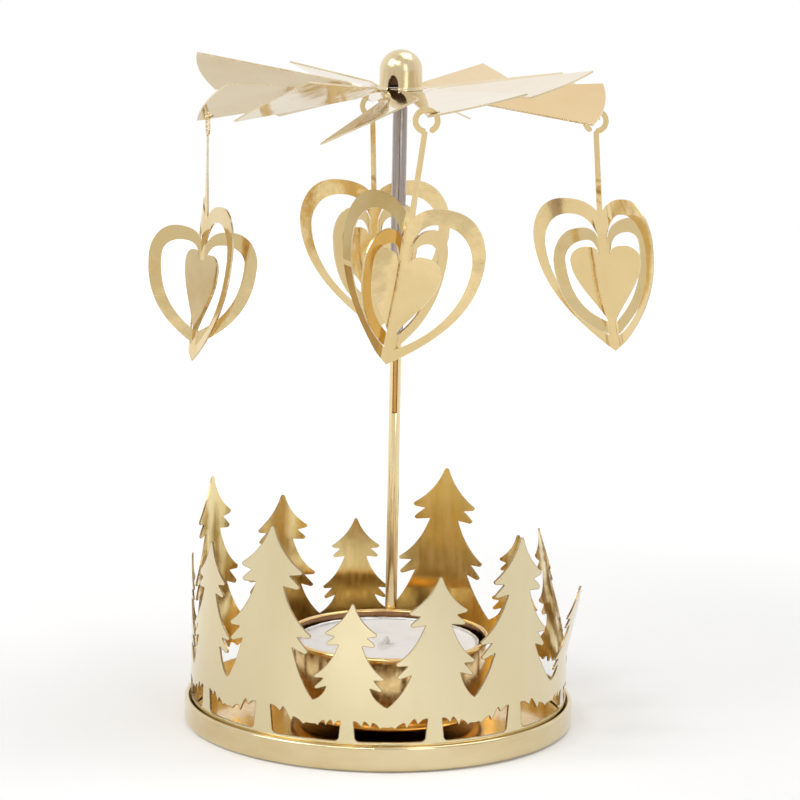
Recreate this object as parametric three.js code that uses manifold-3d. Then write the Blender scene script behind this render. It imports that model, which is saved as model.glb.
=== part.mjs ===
// Rotating candle holder: a tray with a ring of fir trees and a tealight cup, a post behind the cup,
// and a twelve-blade heat rotor on a needle that carries four heart charms.
// Millimetres, +Z up. The origin is the centre of the tray's underside, and -Y is the front.
import * as THREE from 'three';
import { mergeVertices } from 'three/addons/utils/BufferGeometryUtils.js';
import Module from 'manifold-3d';

// Sheet and clearances
const SHEET = 0.4;             // gauge of every stamped gold piece
const SEAT_GAP = 0.3;          // gap between a piece and what it rests on or fits in

// Tray
const TRAY_RADIUS = 42.5;
const TRAY_HEIGHT = 5.4;
const TRAY_GAUGE = 0.6;
const TRAY_CORNER = 1.0;       // outer radius between floor and wall
const TRAY_BEAD = 0.55;        // radius of the rolled rim

// Ring of trees, a band that stands inside the tray's rim
const RING_STRIP_TOP = 6.1;    // height of the plain strip below the trunks
const RING_SKIRT = 9.4;        // lower edge of the boughs, where two neighbours meet
const VALLEY_BASE = 5.0;       // upper edge there, with a share of the two trees' mean height on top
const VALLEY_SHARE = 0.22;
const TREE_TOP = 50.2;         // tip of the tallest tree
// Each tree: degrees of its tip from the front towards the right, height as a share of the tallest one, and
// how far it leans outwards and sideways, in degrees
const TREES = [
  { at: -63.2, tall: 0.855, lean: -1.8, sway: 0.5 },
  { at: -33.2, tall: 1, lean: 0, sway: 3.3 },
  { at: -7.8, tall: 0.705, lean: 0, sway: 2.5 },
  { at: 17.8, tall: 0.819, lean: 0, sway: 1.6 },
  { at: 46, tall: 0.944, lean: 0, sway: 2 },
  { at: 75, tall: 0.661, lean: 12, sway: 0 },
  { at: 103, tall: 0.823, lean: -12, sway: 0 },
  { at: 130.7, tall: 0.707, lean: 0, sway: 0 },
  { at: 158.8, tall: 0.962, lean: 0, sway: -2 },
  { at: 188.2, tall: 0.711, lean: 0, sway: 0 },
  { at: 213.4, tall: 0.841, lean: 0, sway: -1.5 },
  { at: 247, tall: 0.996, lean: 0, sway: 0 },
  { at: 273, tall: 0.733, lean: 0, sway: 0 },
];

// Candle cup, a drawn cup with a rolled rim
const CUP_X = 1.9;
const CUP_RADIUS = 21.5;       // outside of the wall
const CUP_TOP = 19.0;
const CUP_CORNER = 2.5;
const CUP_BEAD = 0.6;          // radius of the rolled rim

// Tealight
const LIGHT_RADIUS = 19.5;
const LIGHT_HEIGHT = 15.0;
const LIGHT_GAUGE = 0.25;
const WAX_DROP = 1.0;          // wax below the shell's rim
const WICK_RADIUS = 0.65;
const WICK_STAND = 1.6;        // how far the wick stands up before it bends over
const WICK_LIE = 6.0;          // length that lies on the wax
const WICK_HEADING = 252;      // degrees from +X
const TAB_RADIUS = 7.0;
const TAB_GAUGE = 0.3;
const TAB_NECK_RADIUS = 1.5;
const TAB_NECK_HEIGHT = 1.6;

// Post, its steel tube and the needle
const POST_X = 2.5;
const POST_RADIUS = 1.3;
const POST_SHOULDER = 80.0;    // the tube stands here
const SPIGOT_RADIUS = 1.0;
const SPIGOT_LENGTH = 12.0;
const GROOVE_WIDTH = 1.1;
const GROOVE_DEPTH = 0.7;
const GROOVE_BOTTOM = 63.7;
const FOOT_WIDTH = 3.4;        // flattened lower end of the post
const FOOT_GAUGE = 0.8;
const FOOT_TOP = 17.5;
const FOOT_TONGUE = 26.0;      // length that lies between the cup and the tray
const TUBE_WALL = 0.3;
const NEEDLE_COLLAR_DROP = 2.7; // needle's collar below the rotor
const NEEDLE_COLLAR = 0.6;
const NEEDLE_PLUG = 7.0;
const NEEDLE_RADIUS = 0.6;
const NEEDLE_POINT = 2.0;      // length of the conical tip

// Rotor and its cap
const ROTOR_Z = 135.7;
const ROTOR_RADIUS = 45.0;
const ROTOR_DISC = 6.5;        // radius of the flat middle
const ROTOR_EYE = 2.4;         // hole that the needle passes through
const BLADE_SLIT = 0.5;
const BLADE_TURN_END = 12.0;   // radius where the twist is complete
const BLADE_FIRST = 21.5;      // degrees from +X of the first blade's middle
// Each blade, counter-clockwise from above: twist in degrees, and lift of its tip in millimetres
const BLADES = [
  { twist: 22, lift: -2.0 },
  { twist: 25, lift: -2.0 },
  { twist: 27, lift: -5.0 },
  { twist: 25, lift: -2.0 },
  { twist: 27, lift: -4.5 },
  { twist: 25, lift: 3.0 },
  { twist: 25, lift: -2.0 },
  { twist: 25, lift: 0.0 },
  { twist: 26, lift: -3.0 },
  { twist: 11, lift: 0.7 },
  { twist: 11, lift: 4.4 },
  { twist: 18, lift: -1.8 },
];
const HOLE_RADIUS = 1.1;
const HOLE_EDGE = 1.9;         // hole's centre from the blade's low edge and from its rim
const CAP_RADIUS = 4.7;
const CAP_HEIGHT = 8.5;
const CAP_WINDOW = [2.4, 1.2, 3.1]; // width at its foot, width at its top, height
const CAP_WINDOW_AT = -21.7;   // degrees from the front towards the right

// Heart charms, drawn flat from the centre of their hook's ring: three hearts one inside the other, joined
// at the top and the bottom by tabs on the middle line, each heart turned about that line
const HOOK_INNER = 1.7;
const HOOK_STRIP = 1.2;        // width of the hook and the stem
const HOOK_OPEN = -50;         // degrees of the hook's free end
const HOOK_RAKE = 30;          // degrees between the hook at its hole and the blade's normal
const CHARM_CREASE = 0.42;     // radius of the tabs' creases
const STEM_FOOT = -20.9;       // where the stem meets the outer heart
// Each outline: half width, heights of lobe, cusp, widest point and tip, half widths of the tabs it ends on, and
// how full its flank is: shares of the half width and of the height where it leaves the tip, and of the height
// where it reaches the widest point
const OUTER_HEART = {
  width: 18.2, top: -17.2, cusp: -21.5, belly: -26.8, tip: -52.6, tab: [0, 0], full: [0.51, 0.26, 0.43],
};
const OUTER_WINDOW = {
  width: 15.5, top: -20.7, cusp: -26.4, belly: -28, tip: -49.1, tab: [0.9, 1.1], full: [0.58, 0.22, 0.42],
};
const MIDDLE_HEART = {
  width: 12.8, top: -23.2, cusp: -26.8, belly: -30.2, tip: -48.75, tab: [0.9, 1.1], full: [0.58, 0.2, 0.54],
};
const MIDDLE_WINDOW = {
  width: 10, top: -26.2, cusp: -29.9, belly: -29.9, tip: -45.9, tab: [1.3, 1.05], full: [0.57, 0.18, 0.57],
};
const INNER_HEART = {
  width: 8.7, top: -28.4, cusp: -30.3, belly: -31.6, tip: -45.3, tab: [1.3, 1.05], full: [0.41, 0.32, 0.36],
};
const TAB_LAP = 0.35;          // how far the tabs of two hearts run into each other
// Each charm: its blade, the way its ring's plane runs (degrees from +X), its lean that way and its tilt to
// the ring's front, the same two for the hearts below the stem, and the turn of each heart's near and far half
const CHARMS = [
  { name: 'front', blade: 9, plane: 0, lean: -7.4, tilt: -4.2, bend: -1.2, nod: 1,
    outer: [26.5, -45.5], middle: [-47.5, 52], inner: [21, -30] },
  { name: 'right', blade: 0, plane: 180, lean: -4.4, tilt: 3, bend: -4.2, nod: 0,
    outer: [35, -60], middle: [-25, 36], inner: [29, -29] },
  { name: 'back', blade: 3, plane: 180, lean: -2, tilt: 0, bend: 0, nod: 0,
    outer: [16, -15], middle: [-44, 40], inner: [15, -15] },
  { name: 'left', blade: 6, plane: 281, lean: 0, tilt: 0, bend: 0, nod: 5.5,
    outer: [-11, -8], middle: [-74, 70], inner: [-16, 16] },
];

// Facets
const ROUND_SEGMENTS = 48;
const SMALL_SEGMENTS = 20;
const CURVE_STEPS = 4;

const rad = THREE.MathUtils.degToRad;
const UP = new THREE.Vector3(0, 0, 1);

const GOLD = { color: 0xdcc98f, roughness: 0.22, metalness: 1.0 };
const DEEP_GOLD = { color: 0xc08a3e, roughness: 0.25, metalness: 1.0 };
const STEEL = { color: 0x8f8c8c, roughness: 0.3, metalness: 1.0 };
const TIN = { color: 0xc9c9cc, roughness: 0.35, metalness: 1.0 };
const WAX = { color: 0xe9e6e8, roughness: 0.55, metalness: 0.0 };
const COTTON = { color: 0xdedad2, roughness: 0.9, metalness: 0.0 };

const wasm = await Module();
wasm.setup();

// A closed geometry as a solid that can be joined and cut
function solidOf(geometry) {
  const bare = geometry.clone();
  bare.deleteAttribute('normal');
  bare.deleteAttribute('uv');
  const merged = mergeVertices(bare, 1e-4);
  return new wasm.Manifold(new wasm.Mesh({
    numProp: 3,
    vertProperties: Float32Array.from(merged.attributes.position.array),
    triVerts: Uint32Array.from(merged.index.array),
  }));
}

function geometryOf(solid) {
  const mesh = solid.getMesh();
  const geometry = new THREE.BufferGeometry();
  geometry.setAttribute('position', new THREE.BufferAttribute(Float32Array.from(mesh.vertProperties), 3));
  geometry.setIndex(new THREE.BufferAttribute(Uint32Array.from(mesh.triVerts), 1));
  geometry.computeVertexNormals();
  return geometry;
}

function part(name, geometry, finish) {
  const mesh = new THREE.Mesh(geometry, new THREE.MeshStandardMaterial(finish));
  mesh.name = name;
  return mesh;
}

// A profile of [radius, height] points, counter-clockwise, turned about Z
function turned(profile, segments) {
  const points = profile.map(([radius, height]) => new THREE.Vector2(radius, height));
  return new THREE.LatheGeometry(points, segments).rotateX(Math.PI / 2);
}

// Points of an arc in a profile, from one angle to another, in degrees
function arc(radius, height, size, from, to, steps) {
  const points = [];
  for (let i = 0; i <= steps; i += 1) {
    const angle = rad(from + ((to - from) * i) / steps);
    points.push([radius + size * Math.cos(angle), height + size * Math.sin(angle)]);
  }
  return points;
}

// A turned wall between two radii and two heights
function pipe(inner, outer, bottom, top, segments) {
  const profile = [[inner, bottom], [outer, bottom], [outer, top], [inner, top], [inner, bottom]];
  return turned(profile, segments);
}

function rod(radius, bottom, top, segments) {
  return turned([[0, bottom], [radius, bottom], [radius, top], [0, top]], segments);
}

function block(width, depth, height, x, y, z) {
  return new THREE.BoxGeometry(width, depth, height).translate(x, y, z);
}

// A flat shape as a plate of the stamped sheet, centred on its plane
function plate(shape, steps) {
  const settings = { depth: SHEET, bevelEnabled: false, curveSegments: steps };
  return new THREE.ExtrudeGeometry(shape, settings).translate(0, 0, -SHEET / 2);
}

// Tray: flat floor, upright wall, rolled rim
const rimCentre = TRAY_RADIUS - TRAY_BEAD;
function tray() {
  const wall = TRAY_RADIUS - TRAY_GAUGE;
  const beadZ = TRAY_HEIGHT - TRAY_BEAD;
  const profile = [
    [0, 0],
    ...arc(TRAY_RADIUS - TRAY_CORNER, TRAY_CORNER, TRAY_CORNER, -90, 0, 3),
    ...arc(rimCentre, beadZ, TRAY_BEAD, 0, 210, 5),
    [wall, beadZ - TRAY_BEAD],
    [wall, TRAY_GAUGE],
    [0, TRAY_GAUGE],
  ];
  return turned(profile, ROUND_SEGMENTS);
}

// One side of a fir, from its tip down to the trunk's foot: two tiers of paired barbs, then the skirt that
// meets the next tree at the given reach and height
function firSide(height, reach, valley) {
  const at = (across, up) => [across * height, up * height];
  const bark = 0.038 * height;
  const span = reach - bark;
  const apex = RING_SKIRT - 2.9 + 0.11 * height;
  const side = new THREE.Path();
  side.moveTo(0, height);
  side.lineTo(...at(0.01, 0.994));
  side.quadraticCurveTo(...at(0.045, 0.895), ...at(0.152, 0.824));
  side.lineTo(...at(0.149, 0.811));
  side.lineTo(...at(0.098, 0.8));
  side.lineTo(...at(0.144, 0.758));
  side.lineTo(...at(0.137, 0.746));
  side.lineTo(...at(0.072, 0.752));
  side.quadraticCurveTo(...at(0.112, 0.63), ...at(0.208, 0.56));
  side.lineTo(...at(0.204, 0.546));
  side.lineTo(...at(0.151, 0.545));
  side.lineTo(...at(0.2, 0.492));
  side.lineTo(...at(0.192, 0.478));
  side.lineTo(...at(0.132, 0.498));
  const sweep = [(0.132 * height + reach) / 2 - 0.9, (0.498 * height + valley) / 2 - 0.6];
  side.quadraticCurveTo(...sweep, reach, valley);
  side.lineTo(reach, RING_SKIRT);
  side.lineTo(bark + 0.56 * span, RING_SKIRT + 0.9);
  side.lineTo(bark + 0.5 * span, RING_SKIRT - 0.1);
  side.lineTo(bark + 0.33 * span, apex);
  side.lineTo(bark + 0.24 * span, apex - 0.9);
  side.lineTo(bark, apex);
  side.lineTo(1.4 * bark, RING_STRIP_TOP - 1);
  return side.getPoints(3);
}

// The ring: trees cut through a thin upright band, on a plain strip
const ringOuter = TRAY_RADIUS - 2 * TRAY_BEAD - SEAT_GAP;
const ringInner = ringOuter - SHEET;
const ringBottom = TRAY_GAUGE + SEAT_GAP;
const treeHeight = (tree) => TREE_TOP * tree.tall;
const valleyTop = VALLEY_BASE + VALLEY_SHARE * TREE_TOP;
function treeRing() {
  const bandSegments = TREES.length * 4;
  const band = solidOf(pipe(ringInner, ringOuter, ringBottom, TREE_TOP + 1, bandSegments));
  let ring = solidOf(pipe(ringInner, ringOuter, ringBottom, RING_STRIP_TOP, bandSegments));
  const overlap = 0.4;
  const depth = ringOuter / 3;
  TREES.forEach((tree, i) => {
    const height = treeHeight(tree);
    const slope = Math.tan(rad(tree.sway));
    const right = skirtSide(tree, TREES[(i + 1) % TREES.length], overlap);
    const left = skirtSide(tree, TREES[(i + TREES.length - 1) % TREES.length], overlap);
    const mirrored = left.slice(1).reverse().map((p) => new THREE.Vector2(-p.x, p.y));
    const outline = [...right, ...mirrored].map((p) => new THREE.Vector2(p.x + slope * (p.y - height), p.y));
    const prism = new THREE.ExtrudeGeometry(new THREE.Shape(outline), { depth, bevelEnabled: false });
    const along = new THREE.Vector3(Math.cos(rad(tree.at)), Math.sin(rad(tree.at)), 0);
    const outward = new THREE.Vector3().crossVectors(along, UP);
    const place = new THREE.Matrix4().makeBasis(along, UP, outward);
    place.setPosition(outward.clone().multiplyScalar(ringOuter - depth / 2));
    const fir = geometryOf(band.intersect(solidOf(prism.applyMatrix4(place))));
    ring = ring.add(solidOf(leaned(fir, tree.lean)));
  });
  return geometryOf(ring);
}

// The side of a tree that faces one neighbour: the taller one takes more of the way between their trunks
function skirtSide(tree, neighbour, overlap) {
  const trunk = (fir) => fir.at - THREE.MathUtils.radToDeg(
    ((treeHeight(fir) - valleyTop) * Math.tan(rad(fir.sway))) / ringOuter,
  );
  const turn = THREE.MathUtils.euclideanModulo(trunk(neighbour) - trunk(tree) + 180, 360) - 180;
  const weight = (fir) => treeHeight(fir) ** 1.3;
  const share = weight(tree) / (weight(tree) + weight(neighbour));
  const reach = ringOuter * Math.sin(rad(Math.abs(turn) * share)) + overlap;
  const valley = VALLEY_BASE + (VALLEY_SHARE * (treeHeight(tree) + treeHeight(neighbour))) / 2;
  return firSide(treeHeight(tree), reach, valley);
}

// Trees that were bent in or out lean from just above the valleys
function leaned(geometry, lean) {
  const points = geometry.attributes.position;
  for (let i = 0; i < points.count; i += 1) {
    const rise = Math.max(points.getZ(i) - valleyTop, 0);
    const shift = 1 + (rise * Math.tan(rad(lean))) / Math.hypot(points.getX(i), points.getY(i));
    points.setXY(i, points.getX(i) * shift, points.getY(i) * shift);
  }
  return geometry;
}

// Candle cup: it stands on the tongue of the post's foot
const tongueBottom = TRAY_GAUGE + SEAT_GAP;
const cupBottom = tongueBottom + FOOT_GAUGE + SEAT_GAP;
const cupFloor = cupBottom + SHEET;
function candleCup() {
  const beadZ = CUP_TOP - CUP_BEAD;
  const profile = [
    [0, cupBottom],
    ...arc(CUP_RADIUS - CUP_CORNER, cupBottom + CUP_CORNER, CUP_CORNER, -90, 0, 3),
    ...arc(CUP_RADIUS - SHEET + CUP_BEAD, beadZ, CUP_BEAD, -130, 180, 5),
    ...arc(CUP_RADIUS - CUP_CORNER, cupBottom + CUP_CORNER, CUP_CORNER - SHEET, 0, -90, 3),
    [0, cupFloor],
  ];
  return turned(profile, ROUND_SEGMENTS).translate(CUP_X, 0, 0);
}

// Tealight: tin shell, wax, wick and the tab that holds the wick
const lightBottom = cupFloor + SEAT_GAP;
const lightTop = lightBottom + LIGHT_HEIGHT;
const lightFloor = lightBottom + LIGHT_GAUGE;
const waxTop = lightTop - WAX_DROP;
const tabBottom = lightFloor + SEAT_GAP;
const tabTop = tabBottom + TAB_GAUGE;
const neckTop = tabTop + TAB_NECK_HEIGHT;
const wickBore = WICK_RADIUS + SEAT_GAP;
function tealightShell() {
  const inside = LIGHT_RADIUS - LIGHT_GAUGE;
  const lip = LIGHT_GAUGE * 1.6;
  const profile = [
    [0, lightBottom],
    [LIGHT_RADIUS, lightBottom],
    [LIGHT_RADIUS, lightTop - 2 * lip],
    ...arc(inside + lip, lightTop - lip, lip, -30, 180, 3),
    [inside, lightFloor],
    [0, lightFloor],
  ];
  return turned(profile, ROUND_SEGMENTS).translate(CUP_X, 0, 0);
}

function tealightWax() {
  const outside = LIGHT_RADIUS - LIGHT_GAUGE - SEAT_GAP;
  const tabRoom = TAB_RADIUS + SEAT_GAP;
  const neckRoom = TAB_NECK_RADIUS + SEAT_GAP;
  const meniscus = 0.4;
  const profile = [
    [tabRoom, tabBottom],
    [outside, tabBottom],
    [outside, waxTop + meniscus],
    [outside - 2 * meniscus, waxTop],
    [wickBore, waxTop],
    [wickBore, neckTop + SEAT_GAP],
    [neckRoom, neckTop + SEAT_GAP],
    [neckRoom, tabTop + SEAT_GAP],
    [tabRoom, tabTop + SEAT_GAP],
    [tabRoom, tabBottom],
  ];
  return turned(profile, ROUND_SEGMENTS).translate(CUP_X, 0, 0);
}

function wickTab() {
  const profile = [
    [0, tabBottom],
    [TAB_RADIUS, tabBottom],
    [TAB_RADIUS, tabTop],
    [TAB_NECK_RADIUS, tabTop],
    [TAB_NECK_RADIUS, neckTop],
    [wickBore, neckTop],
    [wickBore, tabTop],
    [0, tabTop],
  ];
  return turned(profile, SMALL_SEGMENTS).translate(CUP_X, 0, 0);
}

function tealightWick() {
  const section = new THREE.Shape();
  section.absarc(0, 0, WICK_RADIUS, 0, 2 * Math.PI);
  const lying = waxTop + SEAT_GAP + WICK_RADIUS;
  const heading = new THREE.Vector3(Math.cos(rad(WICK_HEADING)), Math.sin(rad(WICK_HEADING)), 0);
  const along = (distance, z) => heading.clone().multiplyScalar(distance).setZ(z);
  const route = new THREE.CatmullRomCurve3([
    along(0, tabTop + SEAT_GAP),
    along(0, (tabTop + waxTop) / 2),
    along(0, waxTop),
    along(0.35 * WICK_STAND, waxTop + 0.85 * WICK_STAND),
    along(1.3 * WICK_STAND, waxTop + WICK_STAND),
    along(WICK_LIE * 0.6, lying + 0.15),
    along(WICK_LIE, lying),
  ]);
  const settings = { steps: 18, curveSegments: 4, bevelEnabled: false, extrudePath: route };
  return new THREE.ExtrudeGeometry(section, settings).translate(CUP_X, 0, 0);
}

// Post: a round rod with a grooved spring end, flattened to a foot that turns in under the cup
const postY = CUP_RADIUS - SHEET + 2 * CUP_BEAD + SEAT_GAP + POST_RADIUS;
function post() {
  const footZ = (FOOT_TOP + tongueBottom) / 2;
  const tongueY = postY + FOOT_GAUGE / 2 - FOOT_TONGUE / 2;
  const spigotTop = POST_SHOULDER + SPIGOT_LENGTH;
  const shaft = [
    [0, FOOT_TOP - FOOT_WIDTH],
    [POST_RADIUS, FOOT_TOP],
    [POST_RADIUS, POST_SHOULDER],
    [SPIGOT_RADIUS, POST_SHOULDER],
    [SPIGOT_RADIUS, spigotTop],
    [0, spigotTop],
  ];
  const grooveTop = spigotTop + 1;
  const grooveEnd = GROOVE_BOTTOM + GROOVE_WIDTH / 2;
  const grooveFloor = GROOVE_DEPTH - POST_RADIUS;
  const cutDepth = 2 * POST_RADIUS;
  const cutY = grooveFloor - cutDepth / 2;
  const slotZ = (grooveTop + grooveEnd) / 2;
  const slot = solidOf(block(GROOVE_WIDTH, cutDepth, grooveTop - grooveEnd, 0, cutY, slotZ));
  const round = solidOf(rod(GROOVE_WIDTH / 2, -cutDepth, 0, 12).rotateX(-Math.PI / 2)
    .translate(0, grooveFloor - cutDepth, grooveEnd));
  const body = solidOf(turned(shaft, SMALL_SEGMENTS))
    .add(solidOf(block(FOOT_WIDTH, FOOT_GAUGE, FOOT_TOP - tongueBottom, 0, 0, footZ)))
    .add(solidOf(block(FOOT_WIDTH, FOOT_TONGUE, FOOT_GAUGE, 0, tongueY - postY, tongueBottom + FOOT_GAUGE / 2)))
    .subtract(slot)
    .subtract(round);
  return geometryOf(body).translate(POST_X, postY, 0);
}

// Steel tube over the spigot, closed at the top by the needle's plug
const tubeOuter = SPIGOT_RADIUS + SEAT_GAP + TUBE_WALL;
const tubeInner = SPIGOT_RADIUS + SEAT_GAP;
const tubeBottom = POST_SHOULDER + SEAT_GAP;
const collarTop = ROTOR_Z - NEEDLE_COLLAR_DROP;
const collarBottom = collarTop - NEEDLE_COLLAR;
const tubeTop = collarBottom - SEAT_GAP;
function postTube() {
  return pipe(tubeInner, tubeOuter, tubeBottom, tubeTop, SMALL_SEGMENTS).translate(POST_X, postY, 0);
}

// Needle: plug, collar, stem and the point that the cap turns on
const capBottom = ROTOR_Z + SHEET / 2 + SEAT_GAP;
const capTop = capBottom + CAP_HEIGHT;
function pivotNeedle() {
  const tip = capTop - SHEET - SEAT_GAP;
  const profile = [
    [0, collarBottom - NEEDLE_PLUG],
    [SPIGOT_RADIUS, collarBottom - NEEDLE_PLUG],
    [SPIGOT_RADIUS, collarBottom],
    [tubeOuter, collarBottom],
    [tubeOuter, collarTop],
    [NEEDLE_RADIUS, collarTop],
    [NEEDLE_RADIUS, tip - NEEDLE_POINT],
    [0, tip],
  ];
  return turned(profile, SMALL_SEGMENTS).translate(POST_X, postY, 0);
}

// Cap: a bell that stands on the rotor, with an arched window cut up from its edge
function hubCap() {
  const crown = CAP_RADIUS * 0.97;
  const springing = capTop - crown;
  const outside = arc(0, springing, CAP_RADIUS, 0, 90, 5);
  const inside = arc(0, springing, CAP_RADIUS - SHEET, 90, 0, 5);
  const squash = ([radius, height]) => [radius, springing + (height - springing) * (crown / CAP_RADIUS)];
  const profile = [
    [CAP_RADIUS - SHEET, capBottom],
    [CAP_RADIUS, capBottom],
    ...outside.map(squash),
    ...inside.map(squash),
    [CAP_RADIUS - SHEET, capBottom],
  ];
  const [foot, head, height] = CAP_WINDOW;
  const arch = new THREE.Shape();
  arch.moveTo(-foot / 2, -1);
  arch.lineTo(foot / 2, -1);
  arch.lineTo(foot / 2, height * 0.25);
  arch.bezierCurveTo(0.46 * foot, 0.8 * height, 0.5 * head, height, 0, height);
  arch.bezierCurveTo(-0.5 * head, height, -0.46 * foot, 0.8 * height, -foot / 2, height * 0.25);
  const settings = { depth: 2 * CAP_RADIUS, bevelEnabled: false, curveSegments: 5 };
  const cutter = new THREE.ExtrudeGeometry(arch, settings)
    .rotateX(Math.PI / 2)
    .rotateZ(rad(CAP_WINDOW_AT))
    .translate(0, 0, capBottom);
  const bell = solidOf(turned(profile, SMALL_SEGMENTS + 4)).subtract(solidOf(cutter));
  return geometryOf(bell).translate(POST_X, postY, 0);
}

// Blades: a point of the flat sheet, by radius and by distance across, on its twisted and lifted blade
const bladePitch = 360 / BLADES.length;
const halfBlade = rad(bladePitch / 2);
function onBlade(blade, along, across, above) {
  const run = THREE.MathUtils.smoothstep(along, ROTOR_DISC, BLADE_TURN_END);
  const twist = rad(blade.twist) * run;
  const slope = (blade.lift * Math.max(0, along - ROTOR_DISC)) / (ROTOR_RADIUS - ROTOR_DISC);
  const y = across * Math.cos(twist) - above * Math.sin(twist);
  const z = across * Math.sin(twist) + above * Math.cos(twist) + slope;
  return new THREE.Vector3(along, y, z);
}

function bladeTurn(index) {
  return rad(BLADE_FIRST + bladePitch * index);
}

// A blade as a closed grid: across the sector, from inside the disc out to the round rim
function bladeGeometry(blade) {
  const radii = [ROTOR_DISC - 2, ROTOR_DISC, (ROTOR_DISC + BLADE_TURN_END) / 2, BLADE_TURN_END, ROTOR_RADIUS];
  const columns = 4;
  const points = [];
  [SHEET / 2, -SHEET / 2].forEach((above) => radii.forEach((radius) => {
    const edge = halfBlade - Math.asin(BLADE_SLIT / 2 / radius);
    for (let j = 0; j <= columns; j += 1) {
      const angle = edge * ((2 * j) / columns - 1);
      points.push(onBlade(blade, radius * Math.cos(angle), radius * Math.sin(angle), above));
    }
  }));
  return closedGrid(points, radii.length, columns + 1);
}

// Joins an upper and a lower grid of points into one closed sheet
function closedGrid(points, rows, columns) {
  const geometry = new THREE.BufferGeometry().setFromPoints(points);
  const lower = rows * columns;
  const index = [];
  const quad = (a, b, c, d) => index.push(a, b, c, a, c, d);
  for (let i = 0; i + 1 < rows; i += 1) {
    for (let j = 0; j + 1 < columns; j += 1) {
      const a = i * columns + j;
      quad(a, a + columns, a + columns + 1, a + 1);
      quad(lower + a, lower + a + 1, lower + a + columns + 1, lower + a + columns);
    }
  }
  for (let i = 0; i + 1 < rows; i += 1) {
    const near = i * columns;
    const far = near + columns - 1;
    quad(near, lower + near, lower + near + columns, near + columns);
    quad(far, far + columns, lower + far + columns, lower + far);
  }
  for (let j = 0; j + 1 < columns; j += 1) {
    const outer = (rows - 1) * columns + j;
    quad(j, j + 1, lower + j + 1, lower + j);
    quad(outer, lower + outer, lower + outer + 1, outer + 1);
  }
  geometry.setIndex(index);
  return geometry;
}

// The hole for a charm's hook, near the low corner of its blade: its centre and the blade's directions there
function hookHole(index) {
  const blade = BLADES[index];
  const along = (ROTOR_RADIUS - HOLE_EDGE) * Math.cos(halfBlade);
  const across = -along * Math.tan(halfBlade) + (HOLE_EDGE + BLADE_SLIT / 2) / Math.cos(halfBlade);
  const turn = new THREE.Matrix4().makeRotationZ(bladeTurn(index));
  const centre = onBlade(blade, along, across, 0).applyMatrix4(turn);
  const outward = onBlade(blade, along + 1, across, 0).applyMatrix4(turn).sub(centre);
  const sideways = onBlade(blade, along, across + 1, 0).applyMatrix4(turn).sub(centre);
  const normal = new THREE.Vector3().crossVectors(outward, sideways).normalize();
  return { centre, normal };
}

function rotor() {
  let sheet = solidOf(pipe(ROTOR_EYE, ROTOR_DISC, -SHEET / 2, SHEET / 2, 36));
  BLADES.forEach((blade, i) => {
    sheet = sheet.add(solidOf(bladeGeometry(blade).rotateZ(bladeTurn(i))));
  });
  CHARMS.forEach((charm) => {
    const { centre, normal } = hookHole(charm.blade);
    const aim = new THREE.Quaternion().setFromUnitVectors(UP, normal);
    const drill = rod(HOLE_RADIUS, -2, 2, 16).applyQuaternion(aim).translate(...centre);
    sheet = sheet.subtract(solidOf(drill));
  });
  return geometryOf(sheet).translate(POST_X, postY, ROTOR_Z);
}

// Half of a heart on the +x side of the middle line, as points from its tip over the lobe to its cusp
function heartLine({ width, top, cusp, belly, tip, tab, full }) {
  const drop = belly - tip;
  const path = new THREE.Path();
  path.moveTo(tab[1], tip);
  path.bezierCurveTo(full[0] * width, tip + full[1] * drop, width, belly - full[2] * drop, width, belly);
  path.bezierCurveTo(width, belly + 0.5 * (top - belly), 0.83 * width, top, 0.53 * width, top);
  path.bezierCurveTo(0.23 * width, top, 0.07 * width + tab[0], cusp + 0.62 * (top - cusp), tab[0], cusp);
  return path.getPoints(CURVE_STEPS);
}

// One half of a heart with its tabs' ends on the middle line, cut out by the half of its window
function halfHeart(heart, window, side, turn) {
  const lap = heart.tab[0] > 0 ? TAB_LAP : 0;
  const points = [...heartLine(heart), new THREE.Vector2(0, heart.cusp + lap)];
  if (window) {
    points.push(new THREE.Vector2(0, window.cusp - TAB_LAP));
    points.push(...heartLine(window).reverse());
    points.push(new THREE.Vector2(0, window.tip + TAB_LAP));
  }
  if (lap > 0) points.push(new THREE.Vector2(0, heart.tip - lap));
  const geometry = plate(new THREE.Shape(points), CURVE_STEPS);
  if (side < 0) geometry.rotateY(Math.PI);
  return solidOf(geometry.rotateY(-side * rad(turn)));
}

// The hook: a ring with a gap beside the stem, and a rounded free end
const hookMiddle = HOOK_INNER + HOOK_STRIP / 2;
function hook() {
  const shape = new THREE.Shape();
  const open = rad(HOOK_OPEN);
  const closed = 1.5 * Math.PI;
  shape.absarc(0, 0, HOOK_INNER + HOOK_STRIP, open, closed, false);
  shape.absarc(0, 0, HOOK_INNER, closed, open, true);
  const end = [hookMiddle * Math.cos(open), hookMiddle * Math.sin(open)];
  shape.absarc(...end, HOOK_STRIP / 2, open + Math.PI, open, false);
  return plate(shape, 4 * CURVE_STEPS);
}

function stem() {
  const top = -hookMiddle;
  const bottom = STEM_FOOT - HOOK_STRIP / 2;
  return block(HOOK_STRIP, top - bottom, SHEET, 0, (top + bottom) / 2, 0);
}

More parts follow.
